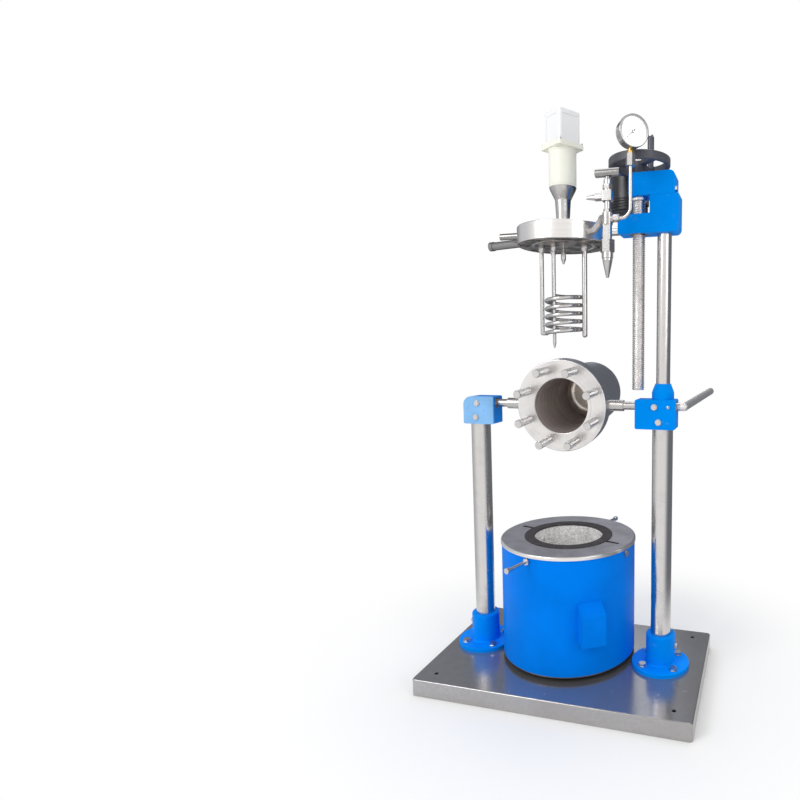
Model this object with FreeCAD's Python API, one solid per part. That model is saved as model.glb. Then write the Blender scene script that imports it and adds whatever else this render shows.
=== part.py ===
import FreeCAD, Part
import math
import os

# High pressure stirred reactor on a floor stand: a tray base with two columns carries a vessel
# that tips on trunnions over a round furnace. The lid, with its stirrer drive, cooling coil,
# valves and gauge, hangs on a carriage that a hand wheel and a lead screw raise and lower.
# Millimetres and degrees. The origin is the middle of the base's underside, X runs to the
# right along the columns, Y to the back and Z up.

# General fits
seat_gap = 0.02
running_gap = 0.05
clear_gap = 0.3

# Base tray and the frame under it
base_left_overhang = 104.0
base_right_overhang = 130.0
base_depth = 500.0
base_height = 50.0
base_sheet = 3.0
base_corner = 10.0
base_edge = 4.0
base_lip = 22.0
anchor_spacing_x = 700.0
anchor_spacing_y = 410.0
anchor_hole_radius = 6.0
frame_tube_wall = 3.0
frame_tube_width = 40.0

# Columns and their sockets
column_y = 17.0
left_socket_gap = 28.0
right_socket_gap = 48.0
column_radius = 30.0
column_wall = 4.0
socket_flange_radius = 86.0
socket_flange_thickness = 12.0
socket_collar_radius = 43.5
socket_height = 100.0
socket_bolt_circle = 65.0
socket_bolt_radius = 6.5
socket_bolt_tail = 12.0
socket_set_screw_height = 62.0
set_screw_radius = 5.0

# Clamp blocks and the trunnion axis
trunnion_z = 831.0
block_depth = 66.0
block_height = 85.0
block_above_axis = 21.0
block_corner = 5.0
left_block_outer = 42.0
left_block_inner = 58.0
left_block_shoulder = 26.0
right_block_outer = 40.0
right_block_inner = 76.0
bush_wall = 4.0
column_top_below_bush = 6.0
rod_foot_above_bush = 3.0
step_collar_radius = 32.0
step_collar_height = 45.0
step_collar_straight = 20.0
step_collar_round = 8.0
step_collar_top_radius = 22.5
clamp_bolt_radius = 4.5
clamp_bolt_depth = 18.0
left_bolt_offset = 4.0
right_bolt_offset = -20.0
right_lower_bolt_offset = -8.0

# Guide rod, lead screw and hand wheel
guide_rod_radius = 20.0
rod_below_head_top = 4.0
screw_to_rod = 73.0
screw_radius = 18.0
screw_journal_radius = 12.0
screw_above_axis = 47.0
screw_collar_radius = 23.0
screw_collar_height = 9.0
screw_bearing_wall = 4.0
wheel_radius = 86.0
wheel_rim_width = 11.0
wheel_rim_height = 24.0
wheel_rim_lift = 19.0
wheel_hub_radius = 20.0
wheel_hub_below_rim = 8.0
wheel_spoke_above_rim = 5.0
wheel_spokes = 3
wheel_spoke_width = 18.0
wheel_spoke_thickness = 9.0
wheel_nut_across = 27.0
wheel_nut_height = 11.0
crank_angle = 76.0
crank_pin_radius = 4.0
crank_pin_inset = 6.0
crank_pin_foot = 3.0
grip_radius = 9.5
grip_length = 84.0
grip_round = 20.0

# Head block at the top of the guide rod, and the black housing behind it
head_above_axis = 582.0
head_height = 61.0
head_depth = 66.0
head_left_reach = 24.0
head_right_reach = 32.0
pinch_bolt_rise = 12.0
pinch_bolt_forward = 25.5
head_corner = 16.0
housing_left_of_screw = 60.0
housing_radius = 58.0
housing_height = 146.0
housing_below_head = 8.0
housing_rib = 2.5
housing_rib_count = 4
housing_rib_step = 8.0
housing_gap = 44.0
housing_shoulder = 14.0
pad_inset = 2.0
pad_width = 24.0
pad_foot_rise = 8.0
pad_top_drop = 12.0

# Lift carriage
carriage_height = 99.5
carriage_arm_height = 51.5
carriage_left_reach = 54.0
carriage_right_reach = 43.0
carriage_boss_reach = 37.0
carriage_corner = 14.0
carriage_chamfer_x = 24.0
carriage_chamfer_z = 20.0
lift_nut_radius = 26.0
lift_nut_wall = 4.0
lid_arm_radius = 12.5
lid_arm_rise = 10.5

# Lid
vessel_x = -23.0
flange_radius = 133.5
lid_above_axis = 461.0
lid_thickness = 50.0
lid_edge = 3.0
stud_circle = 112.0
stud_count = 8
stud_radius = 12.0
stud_hole_gap = 1.5
seal_mean_radius = 88.5
seal_width = 9.0
seal_height = 2.0

# Stirrer drive on the lid
spigot_radius = 14.0
neck_radius = 18.5
neck_taper = 4.5
neck_round = 12.0
neck_height = 80.0
cone_height = 34.0
foot_ring_width = 8.0
foot_ring_height = 9.0
coupling_radius = 39.5
coupling_lip = 8.0
coupling_height = 104.0
coupling_wall = 4.0
drive_turn = -34.0
corner_angles = (45.0, 135.0, 225.0, 315.0)
motor_flange_side = 90.0
motor_flange_thickness = 12.0
motor_side = 74.0
motor_height = 92.0
motor_corner = 8.0
motor_flange_corner = 9.0
motor_screw_radius = 3.5
motor_cap_round = 6.0
motor_recess_edge = 12.0
motor_recess_depth = 1.2
shaft_radius = 5.5
shaft_below_lid = 50.0
shaft_above_lid = 150.0
shaft_end_radius = 7.5
shaft_end_length = 27.0
shaft_end_round = 8.0

# Tubes under the lid
coil_tube_radius = 6.0
coil_radius = 50.5
coil_turns = 5
coil_pitch = 23.4
coil_bottom_drop = 250.0
coil_riser_radius = 63.5
coil_start_angle = 195.0
coil_open_angle = 50.0
dip_tube_left = 19.0
dip_tube_forward = 30.0
dip_tube_radius = 5.0
dip_tube_drop = 294.0
dip_tip_length = 14.0
well_right = 66.0
well_forward = 5.0
well_radius = 7.5
well_drop = 263.0
lid_socket_depth = 30.0

# Bars on the left of the lid
bar_radius = 12.5
bar_length = 146.0
bar_angle = 164.0
bar_cap_radius = 14.0
bar_cap_length = 14.0
rod_radius = 9.5
rod_length = 68.0
rod_angle = 178.0
rod_below_top = 12.0
bar_socket_depth = 24.0

# Valve group beside the lid
valve_from_lid = 164.0
valve_forward = 115.0
cross_below_lid_top = 6.0
cross_radius = 14.0
cross_half_height = 15.0
branch_pipe_radius = 9.5
branch_below_top = 26.0
branch_run = 22.0
branch_bend = 12.0
branch_nut_radius = 14.0
branch_nut_length = 9.0
valve_neck_radius = 8.0
valve_neck_height = 30.0
valve_body_across = 27.0
valve_body_height = 26.0
valve_bonnet_radius = 10.5
valve_bonnet_height = 28.0
neck_nut_height = 10.0
bonnet_nut_height = 12.0
bonnet_nut_rise = 4.0
valve_stem_radius = 4.0
valve_stem_height = 7.0
stem_hole_depth = 20.0
tee_bar_radius = 11.0
tee_bar_length = 67.0
vent_nut_across = 18.0
vent_nut_length = 20.0
vent_tip_length = 24.0
vent_tip_radius = 4.0
relief_block_side = 20.0
relief_block_height = 39.0
relief_hex_across = 34.0
relief_hex_height = 32.0
relief_ring_radius = 15.5
relief_ring_height = 22.0
relief_tip_height = 44.0
relief_tip_radius = 4.0

# Pressure gauge
gauge_from_valve = 62.0
gauge_turn = 37.0
gauge_tube_radius = 5.0
gauge_tube_bend = 26.0
gauge_nut_radius = 9.0
gauge_nut_length = 16.0
gauge_fitting_across = 22.0
gauge_fitting_rise = 129.0
gauge_fitting_height = 30.0
gauge_stem_radius = 7.0
gauge_stem_height = 12.0
gauge_radius = 39.0
gauge_depth = 32.0
gauge_wall = 2.5
gauge_stem_from_back = 9.0
bezel_lip = 2.0
bezel_height = 8.0
glass_thickness = 2.5
dial_thickness = 1.5
dial_below_glass = 5.0
pointer_length = 26.0
pointer_tail = 9.0
pointer_width = 3.0
pointer_thickness = 1.0
pointer_rest_angle = 135.0
pointer_hub_radius = 4.0
spindle_radius = 1.5

# Vessel, built upright about its trunnion axis and tipped to rest
rest_tilt = 94.0
vessel_flange_radius = 137.5
flange_thickness = 51.0
face_above_axis = 34.0
bore_radius = 82.5
vessel_wall = 21.0
vessel_behind_axis = 296.0
vessel_bottom = 20.0
vessel_inner_corner = 24.0
vessel_outer_corner = 14.0
stud_stand = 82.0
stud_thread_depth = 40.0
trunnion_boss_radius = 16.5
trunnion_boss_length = 45.0
trunnion_radius = 12.0
trunnion_socket_depth = 22.0
handle_radius = 11.5
handle_length = 350.0
handle_flare = 7.0
handle_offset = 10.0
shaft_end_inset = 4.0

# Furnace on the base
furnace_behind_columns = 27.0
furnace_radius = 206.5
furnace_shell_wall = 2.0
furnace_foot_height = 13.0
furnace_foot_radius = 20.0
furnace_foot_circle = 150.0
furnace_plate = 3.0
furnace_top_z = 420.0
cover_sheet = 2.5
cover_rim_height = 11.0
cover_edge_round = 5.0
cover_opening_radius = 137.0
cover_slot_width = 12.0
cover_slot_length = 42.0
cover_slot_angle = 75.0
collar_thickness = 5.0
collar_rise = 1.5
collar_opening_radius = 106.0
lining_radius = 108.0
lining_floor = 34.0
heater_rings = 7
heater_wire_radius = 3.5
groove_depth = 7.0
groove_height = 9.0
lowest_groove_rise = 20.0
highest_groove_drop = 40.0
probe_radius = 13.0
probe_bore = 6.0
probe_reach = 20.0
probe_seat = 30.0
probe_angle = 262.0
probe_below_top = 32.0
junction_angle = 35.0
junction_width = 68.0
junction_depth = 45.0
junction_overlap = 10.0
junction_bottom_z = 170.0
junction_front_top_z = 262.0
junction_back_top_z = 285.0
pin_z_below_top = 22.0
pin_radius = 5.0
pin_length = 84.0
pin_knob_radius = 8.0
pin_knob_length = 7.0
pin_nut_radius = 9.0
pin_nut_length = 7.0
pin_angle = -16.0
pin_bore_reach = 20.0
bolt_angle = 72.0

# Places that follow from the sizes above
up = FreeCAD.Vector(0, 0, 1)
right = FreeCAD.Vector(1, 0, 0)
back = FreeCAD.Vector(0, 1, 0)
left_column_x = vessel_x - furnace_radius - left_socket_gap - socket_collar_radius
right_column_x = vessel_x + furnace_radius + right_socket_gap + socket_collar_radius
base_left = left_column_x - base_left_overhang
base_right = right_column_x + base_right_overhang
base_middle_x = (base_left + base_right) / 2
screw_x = right_column_x - screw_to_rod
block_top_z = trunnion_z + block_above_axis
block_bottom_z = block_top_z - block_height
bush_radius = trunnion_radius + running_gap + bush_wall
column_top_z = trunnion_z - bush_radius - column_top_below_bush
rod_seat_z = trunnion_z + bush_radius + rod_foot_above_bush
screw_bottom_z = trunnion_z + screw_above_axis
head_bottom_z = trunnion_z + head_above_axis
head_left = screw_x - head_left_reach
head_right = right_column_x + head_right_reach
head_top_z = head_bottom_z + head_height
head_front_y = column_y - head_depth / 2
head_back_y = column_y + head_depth / 2
carriage_bottom_z = head_bottom_z - carriage_height - clear_gap
carriage_top_z = carriage_bottom_z + carriage_height
carriage_arm_top_z = carriage_bottom_z + carriage_arm_height
carriage_left = screw_x - carriage_left_reach
carriage_right = right_column_x + carriage_right_reach
carriage_boss_left = right_column_x - carriage_boss_reach
lid_bottom_z = trunnion_z + lid_above_axis
lid_top_z = lid_bottom_z + lid_thickness
lid_mid_z = lid_bottom_z + lid_thickness / 2
cross_z = lid_top_z - cross_below_lid_top
valve_x = vessel_x + valve_from_lid
valve_y = column_y - valve_forward
gauge_x = valve_x + gauge_from_valve
gauge_fitting_z = cross_z + gauge_fitting_rise
dip_tube_x = vessel_x - dip_tube_left
dip_tube_y = column_y - dip_tube_forward
well_x = vessel_x + well_right
well_y = column_y - well_forward
left_block_face = left_column_x + left_block_inner
right_block_face = right_column_x - right_block_inner
right_block_end = right_column_x + right_block_outer
wheel_bottom_z = head_top_z + clear_gap
wheel_rim_z = wheel_bottom_z + wheel_rim_lift
wheel_rim_top_z = wheel_rim_z + wheel_rim_height
crank_radius = wheel_radius - wheel_rim_width / 2 - crank_pin_inset
furnace_y = column_y + furnace_behind_columns
furnace_bottom_z = base_height + furnace_foot_height
vessel_body_radius = bore_radius + vessel_wall
motor_base_z = lid_top_z + neck_height + cone_height + coupling_height


def vector(x, y, z):
    return FreeCAD.Vector(x, y, z)


def cylinder(radius, start, direction, length):
    """A round bar from a start point along a direction."""
    return Part.makeCylinder(radius, length, start, direction)


def ring(outer, inner, start, direction, length):
    """A round sleeve from a start point along a direction."""
    bore_start = start - direction * 1.0
    bore = Part.makeCylinder(inner, length + 2.0, bore_start, direction)
    return cylinder(outer, start, direction, length).cut(bore)


def cone(radius_1, radius_2, start, direction, length):
    """A tapered round bar."""
    return Part.makeCone(radius_1, radius_2, length, start, direction)


def block(x_range, y_range, z_range):
    """A box between two limits on each axis."""
    size = [limits[1] - limits[0] for limits in (x_range, y_range, z_range)]
    return Part.makeBox(size[0], size[1], size[2], vector(x_range[0], y_range[0], z_range[0]))


def rounded_edges(corners, closed):
    """Straight edges with an arc at each (point, radius) corner whose radius isn't 0."""
    count = len(corners)
    entries = []
    exits = []
    arcs = []
    for index, (point, radius) in enumerate(corners):
        inner = closed or 0 < index < count - 1
        if radius == 0 or not inner:
            entries.append(point)
            exits.append(point)
            arcs.append(None)
            continue
        to_last = (corners[index - 1][0] - point).normalize()
        to_next = (corners[(index + 1) % count][0] - point).normalize()
        half = to_last.getAngle(to_next) / 2
        reach = radius / math.tan(half)
        middle = (to_last + to_next).normalize() * (radius / math.sin(half) - radius)
        entries.append(point + to_last * reach)
        exits.append(point + to_next * reach)
        arcs.append(Part.Arc(entries[-1], point + middle, exits[-1]).toShape())
    edges = []
    for index in range(count):
        if arcs[index]:
            edges.append(arcs[index])
        following = (index + 1) % count
        if following == 0 and not closed:
            continue
        if exits[index].distanceToPoint(entries[following]) > 1e-6:
            edges.append(Part.LineSegment(exits[index], entries[following]).toShape())
    return edges


def profile_corners(points, place):
    """Corners for rounded_edges from (u, v) or (u, v, radius) points."""
    corners = []
    for point in points:
        radius = point[2] if len(point) == 3 else 0.0
        corners.append((place(point[0], point[1]), radius))
    return corners


def turned(points, centre=None):
    """A solid of revolution about Z from (radius, height) points, moved to a centre."""
    corners = profile_corners(points, lambda u, v: vector(u, 0, v))
    face = Part.Face(Part.Wire(rounded_edges(corners, True)))
    solid = face.revolve(vector(0, 0, 0), up, 360)
    if centre:
        solid.translate(centre)
    return solid


def front_profile(points, y_start, y_end):
    """A prism along Y from (x, z) points."""
    corners = profile_corners(points, lambda u, v: vector(u, y_start, v))
    face = Part.Face(Part.Wire(rounded_edges(corners, True)))
    return face.extrude(vector(0, y_end - y_start, 0))


def plan_profile(points, z_start, z_end):
    """A prism along Z from (x, y) points."""
    corners = profile_corners(points, lambda u, v: vector(u, v, z_start))
    face = Part.Face(Part.Wire(rounded_edges(corners, True)))
    return face.extrude(vector(0, 0, z_end - z_start))


def rounded_plate(half_x, half_y, corner, z_start, z_end):
    """A rectangular prism centred on Z with rounded upright corners."""
    points = [
        (-half_x, -half_y, corner),
        (half_x, -half_y, corner),
        (half_x, half_y, corner),
        (-half_x, half_y, corner),
    ]
    return plan_profile(points, z_start, z_end)


def bent_bar(points, radius, bend):
    """A round bar along straight runs joined by arcs of one bend radius."""
    corners = [(point, bend) for point in points]
    path = Part.Wire(rounded_edges(corners, False))
    circle = Part.Wire([Part.makeCircle(radius, points[0], points[1] - points[0])])
    return path.makePipeShell([circle], True, False)


def hexagon(across, start, direction, length):
    """A hexagonal prism from a start point along a direction."""
    corner_radius = across / math.sqrt(3)
    points = []
    for index in range(7):
        angle = math.radians(60 * index)
        points.append(vector(corner_radius * math.cos(angle), corner_radius * math.sin(angle), 0))
    solid = Part.Face(Part.makePolygon(points)).extrude(vector(0, 0, length))
    turn = FreeCAD.Rotation(up, direction)
    solid.Placement = FreeCAD.Placement(start, turn)
    return solid


def hex_screw(radius, seat, outward, grip):
    """A hexagon screw whose head stands outward from its seat and whose shank goes in."""
    head = hexagon(radius * 3, seat, outward, radius * 1.3)
    shank = cylinder(radius, seat - outward * grip, outward, grip)
    return head.fuse(shank)


def joined(solids):
    """Solids that are one real piece, fused and cleaned."""
    whole = solids[0].fuse(solids[1:])
    return whole.removeSplitter()


def polar(centre_x, centre_y, radius, angle, z):
    """A point at an angle from +X about an upright axis."""
    turn = math.radians(angle)
    return vector(centre_x + radius * math.cos(turn), centre_y + radius * math.sin(turn), z)


def save(name, shapes):
    """Write one node, either one solid or a group of separate ones."""
    if isinstance(shapes, list):
        shapes = Part.makeCompound(shapes)
    shapes.exportStep(os.path.join("parts", name + ".step"))


def make_base():
    """The folded tray with its return lip, and the tube frame that stands under it."""
    half_x = (base_right - base_left) / 2
    half_y = base_depth / 2
    outer = rounded_plate(half_x, half_y, base_corner, 0, base_height)
    top_edges = [edge for edge in outer.Edges if edge.BoundBox.ZMin > base_height - 0.01]
    outer = outer.makeFillet(base_edge, top_edges)
    inside = rounded_plate(
        half_x - base_sheet,
        half_y - base_sheet,
        base_corner - base_sheet,
        base_sheet,
        base_height - base_sheet,
    )
    mouth = rounded_plate(half_x - base_lip, half_y - base_lip, base_corner, -1, base_sheet + 1)
    tray = outer.cut(inside).cut(mouth)
    for side_x in (-1, 1):
        for side_y in (-1, 1):
            start = vector(side_x * anchor_spacing_x / 2, side_y * anchor_spacing_y / 2, -1)
            tray = tray.cut(cylinder(anchor_hole_radius, start, up, base_height + 2))
    tray.translate(vector(base_middle_x, 0, 0))
    for column_x in (left_column_x, right_column_x):
        for angle in corner_angles:
            start = polar(column_x, column_y, socket_bolt_circle, angle, base_height / 2)
            tray = tray.cut(cylinder(socket_bolt_radius + seat_gap, start, up, base_height))
    save("base_tray", tray)

    tube_top = base_height - base_sheet
    inner_left = base_left + base_sheet + clear_gap
    inner_right = base_right - base_sheet - clear_gap
    inner_depth = half_y - base_sheet - clear_gap
    half_width = frame_tube_width / 2
    cross_places = (left_column_x, vessel_x, right_column_x)
    skins = [block((inner_left, inner_right), (-half_width, half_width), (0, tube_top))]
    hollows = []
    wall = frame_tube_wall
    hollows.append(
        block(
            (inner_left - 1, inner_right + 1),
            (-half_width + wall, half_width - wall),
            (wall, tube_top - wall),
        )
    )
    for place in cross_places:
        sides = (place - half_width, place + half_width)
        skins.append(block(sides, (-inner_depth, inner_depth), (0, tube_top)))
        hollows.append(
            block(
                (sides[0] + wall, sides[1] - wall),
                (-inner_depth - 1, inner_depth + 1),
                (wall, tube_top - wall),
            )
        )
    frame = joined(skins).cut(joined(hollows))
    lip_ring = rounded_plate(half_x, half_y, base_corner, 0, base_sheet + clear_gap)
    lip_ring = lip_ring.cut(
        rounded_plate(half_x - base_lip, half_y - base_lip, base_corner, -1, base_sheet + 1)
    )
    save("base_frame", frame.cut(lip_ring))


def make_sockets():
    """Flanged sockets that bolt the columns to the base, with their screws."""
    screws = []
    sides = {"left": (left_column_x, -1), "right": (right_column_x, 1)}
    for side, (place_x, outward) in sides.items():
        bore = column_radius + seat_gap
        socket = turned(
            [
                (bore, 0),
                (socket_flange_radius, 0),
                (socket_flange_radius, socket_flange_thickness, 2),
                (socket_collar_radius, socket_flange_thickness, 6),
                (socket_collar_radius, socket_height, 5),
                (bore, socket_height),
            ],
            vector(place_x, column_y, base_height),
        )
        flange_top = base_height + socket_flange_thickness
        for angle in corner_angles:
            seat = polar(place_x, column_y, socket_bolt_circle, angle, flange_top)
            hole_start = seat - up * (socket_flange_thickness + 1)
            hole_depth = socket_flange_thickness + socket_bolt_tail
            hole = cylinder(socket_bolt_radius + seat_gap, hole_start, up, hole_depth)
            socket = socket.cut(hole)
            screws.append(hex_screw(socket_bolt_radius, seat, up, hole_depth))
        side_way = right * outward
        screw_z = base_height + socket_set_screw_height
        axis_point = vector(place_x, column_y, screw_z)
        hole = cylinder(set_screw_radius + seat_gap, axis_point, side_way, socket_collar_radius + 5)
        socket = socket.cut(hole)
        seat = axis_point + side_way * (socket_collar_radius + clear_gap)
        grip = socket_collar_radius - column_radius
        screws.append(hex_screw(set_screw_radius, seat, side_way, grip))
        save(side + "_socket", socket)
    save("socket_screws", screws)


def make_columns():
    """The two thick tubes, the thinner guide rod above the right one and its step collar."""
    sides = {"left": left_column_x, "right": right_column_x}
    for side, place_x in sides.items():
        foot = vector(place_x, column_y, base_height)
        length = column_top_z - base_height
        tube = ring(column_radius, column_radius - column_wall, foot, up, length)
        save(side + "_column", tube)
    rod_foot = vector(right_column_x, column_y, rod_seat_z)
    rod = cylinder(guide_rod_radius, rod_foot, up, head_top_z - rod_seat_z - rod_below_head_top)
    save("guide_rod", rod)
    collar = turned(
        [
            (guide_rod_radius + seat_gap, 0),
            (step_collar_radius, 0),
            (step_collar_radius, step_collar_straight, step_collar_round),
            (step_collar_top_radius, step_collar_height, 2),
            (guide_rod_radius + seat_gap, step_collar_height),
        ],
        vector(right_column_x, column_y, block_top_z),
    )
    save("step_collar", collar)


def make_clamp_blocks():
    """The blocks on the columns that hold the trunnion bushes, and their bolts."""
    front = column_y - block_depth / 2
    rear = column_y + block_depth / 2
    left_start = left_column_x - left_block_outer
    left_block = front_profile(
        [
            (left_start, block_bottom_z, block_corner),
            (left_block_face, block_bottom_z, block_corner),
            (left_block_face, block_top_z, block_corner),
            (left_start, block_top_z, left_block_shoulder),
        ],
        front,
        rear,
    )
    right_block = front_profile(
        [
            (right_block_face, block_bottom_z, block_corner),
            (right_block_end, block_bottom_z, block_corner),
            (right_block_end, block_top_z, block_corner),
            (right_block_face, block_top_z, block_corner),
        ],
        front,
        rear,
    )
    column_reach = column_top_z - block_bottom_z + 1
    column_bore = column_radius + seat_gap
    left_foot = vector(left_column_x, column_y, block_bottom_z - 1)
    right_foot = vector(right_column_x, column_y, block_bottom_z - 1)
    left_column_bore = cylinder(column_bore, left_foot, up, column_reach)
    right_column_bore = cylinder(column_bore, right_foot, up, column_reach)
    rod_bore = cylinder(
        guide_rod_radius + seat_gap, vector(right_column_x, column_y, rod_seat_z), up, block_height
    )
    bush_bore = bush_radius + seat_gap
    left_bush_start = vector(left_column_x, column_y, trunnion_z)
    left_hole = cylinder(bush_bore, left_bush_start, right, left_block_inner + 1)
    right_length = right_block_end - right_block_face
    right_start = vector(right_block_face - 1, column_y, trunnion_z)
    right_hole = cylinder(bush_bore, right_start, right, right_length + 2)
    left_block = left_block.cut(left_column_bore).cut(left_hole)
    right_block = right_block.cut(right_column_bore).cut(rod_bore).cut(right_hole)

    lower_z = (block_bottom_z + column_top_z) / 2
    bolt_places = [
        (left_column_x + left_bolt_offset, trunnion_z),
        (left_column_x, lower_z),
        (right_column_x + right_bolt_offset, trunnion_z),
        (right_column_x + right_lower_bolt_offset, lower_z),
    ]
    screws = []
    bush_depth = block_depth / 2 - bush_bore - seat_gap
    column_depth = block_depth / 2 - column_radius - seat_gap
    for place_x, place_z in bolt_places:
        seat = vector(place_x, front, place_z)
        depth = column_depth if place_z == lower_z else bush_depth
        screws.append(hex_screw(clamp_bolt_radius, seat, back * -1, depth))
        hole_radius = clamp_bolt_radius + seat_gap
        hole = cylinder(hole_radius, seat - back, back, depth + 1)
        left_block = left_block.cut(hole)
        right_block = right_block.cut(hole)
    screws.append(hex_screw(clamp_bolt_radius, pinch_seat(), right, clamp_bolt_depth))
    save("clamp_screws", screws)
    save("left_clamp_block", left_block)
    save("right_clamp_block", right_block)

    bush_bore_radius = trunnion_radius + running_gap
    left_bush = ring(bush_radius, bush_bore_radius, left_bush_start, right, left_block_inner)
    right_bush_start = vector(right_block_face, column_y, trunnion_z)
    right_bush = ring(bush_radius, bush_bore_radius, right_bush_start, right, right_length)
    save("trunnion_bushes", [left_bush, right_bush])


def pinch_seat():
    """Where the head block's pinch bolt sits on its right side."""
    seat_y = column_y - pinch_bolt_forward
    return vector(head_right, seat_y, head_bottom_z + pinch_bolt_rise)


def make_head():
    """The head block on the guide rod, the lead screw's bush in it and the housing behind."""
    head = front_profile(
        [
            (head_left, head_bottom_z, 3),
            (head_right, head_bottom_z, 4),
            (head_right, head_top_z, head_corner),
            (head_left, head_top_z, 3),
        ],
        head_front_y,
        head_back_y,
    )
    rod_bore = cylinder(
        guide_rod_radius + seat_gap,
        vector(right_column_x, column_y, head_bottom_z - 1),
        up,
        head_height - 3.0,
    )
    bearing_radius = screw_journal_radius + running_gap + screw_bearing_wall
    bearing_foot = vector(screw_x, column_y, head_bottom_z)
    bearing_hole = cylinder(bearing_radius + seat_gap, bearing_foot - up, up, head_height + 2)
    pinch = cylinder(
        clamp_bolt_radius + seat_gap,
        pinch_seat() - right * clamp_bolt_depth,
        right,
        clamp_bolt_depth + 1,
    )
    save("head_block", head.cut(rod_bore).cut(bearing_hole).cut(pinch))
    bearing = ring(bearing_radius, screw_journal_radius + running_gap, bearing_foot, up, head_height)
    save("screw_bearing", bearing)

    housing_y = head_back_y + housing_gap + housing_radius
    housing_x = screw_x - housing_left_of_screw
    outline = [(0, 0), (housing_radius - housing_rib * 2, 0)]
    for index in range(housing_rib_count):
        start = 2.0 + index * housing_rib_step
        outline.append((housing_radius - housing_rib, start))
        outline.append((housing_radius, start + 1.5))
        outline.append((housing_radius, start + 4.0))
        outline.append((housing_radius - housing_rib, start + 5.5))
    outline.append((housing_radius - 1, housing_rib_step * housing_rib_count + 4))
    outline.append((housing_radius - 1, housing_height, housing_shoulder))
    outline.append((0, housing_height))
    housing_foot = vector(housing_x, housing_y, head_bottom_z - housing_below_head)
    housing = turned(outline, housing_foot)
    pad_z = (head_bottom_z + pad_foot_rise, head_top_z - pad_top_drop)
    pad_x = (head_left + pad_inset, head_left + pad_inset + pad_width)
    pad = block(pad_x, (head_back_y, housing_y), pad_z)
    save("rear_housing", joined([housing, pad]))


def make_screw():
    """The lead screw with its shoulder, the hand wheel on it and the turning grip."""
    shoulder_top = head_bottom_z - clear_gap
    shoulder_foot = shoulder_top - screw_collar_height
    stub_top = wheel_rim_top_z + 2.0
    screw = turned(
        [
            (0, screw_bottom_z),
            (screw_radius, screw_bottom_z, 3),
            (screw_radius, shoulder_foot),
            (screw_collar_radius, shoulder_foot, 1),
            (screw_collar_radius, shoulder_top, 1),
            (screw_journal_radius, shoulder_top),
            (screw_journal_radius, stub_top),
            (0, stub_top),
        ],
        vector(screw_x, column_y, 0),
    )
    save("lead_screw", screw)

    centre = vector(screw_x, column_y, 0)
    hub_top = wheel_rim_top_z - wheel_hub_below_rim
    hub = turned(
        [
            (screw_journal_radius + seat_gap, wheel_bottom_z),
            (wheel_hub_radius, wheel_bottom_z),
            (wheel_hub_radius, hub_top, 3),
            (screw_journal_radius + seat_gap, hub_top),
        ],
        centre,
    )
    rim_inner = wheel_radius - wheel_rim_width
    rim = turned(
        [
            (rim_inner, wheel_rim_z, 3),
            (wheel_radius, wheel_rim_z, 4),
            (wheel_radius, wheel_rim_top_z, 4),
            (rim_inner, wheel_rim_top_z, 3),
        ],
        centre,
    )
    pieces = [hub, rim]
    spoke_z = wheel_rim_z + wheel_spoke_above_rim
    for index in range(wheel_spokes):
        spoke = block(
            (wheel_hub_radius - 3, rim_inner + 3),
            (-wheel_spoke_width / 2, wheel_spoke_width / 2),
            (spoke_z, spoke_z + wheel_spoke_thickness),
        )
        spoke.rotate(vector(0, 0, 0), up, crank_angle + 360.0 / wheel_spokes * index)
        spoke.translate(centre)
        pieces.append(spoke)
    lug_foot = polar(screw_x, column_y, crank_radius, crank_angle, wheel_rim_z + 1)
    lug = cylinder(grip_radius + 1, lug_foot, up, wheel_rim_height - 1)
    pieces.append(lug)
    wheel = joined(pieces)
    pin_foot_z = wheel_rim_z + crank_pin_foot
    pin_start = polar(screw_x, column_y, crank_radius, crank_angle, pin_foot_z)
    wheel = wheel.cut(cylinder(crank_pin_radius + seat_gap, pin_start, up, wheel_rim_height))
    save("handwheel", wheel)

    nut_seat = centre + up * hub_top
    nut = hexagon(wheel_nut_across, nut_seat, up, wheel_nut_height)
    nut_bore_radius = screw_journal_radius + seat_gap
    nut_bore = cylinder(nut_bore_radius, nut_seat - up, up, wheel_nut_height + 2)
    save("wheel_nut", nut.cut(nut_bore))

    grip_foot_z = wheel_rim_top_z + clear_gap
    grip_top_z = grip_foot_z + grip_length
    pin_top_z = grip_top_z + clear_gap
    pin = cylinder(crank_pin_radius, pin_start, up, pin_top_z - pin_start.z)
    pin_head = cylinder(
        crank_pin_radius + 3, polar(screw_x, column_y, crank_radius, crank_angle, pin_top_z), up, 3
    )
    save("crank_pin", joined([pin, pin_head]))
    grip = turned(
        [
            (crank_pin_radius + running_gap, grip_foot_z),
            (grip_radius - 1.5, grip_foot_z, 1),
            (grip_radius, grip_foot_z + grip_length * 0.35, grip_round),
            (grip_radius, grip_top_z, 4),
            (crank_pin_radius + running_gap, grip_top_z),
        ],
        polar(screw_x, column_y, crank_radius, crank_angle, 0),
    )
    save("crank_grip", grip)


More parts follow.
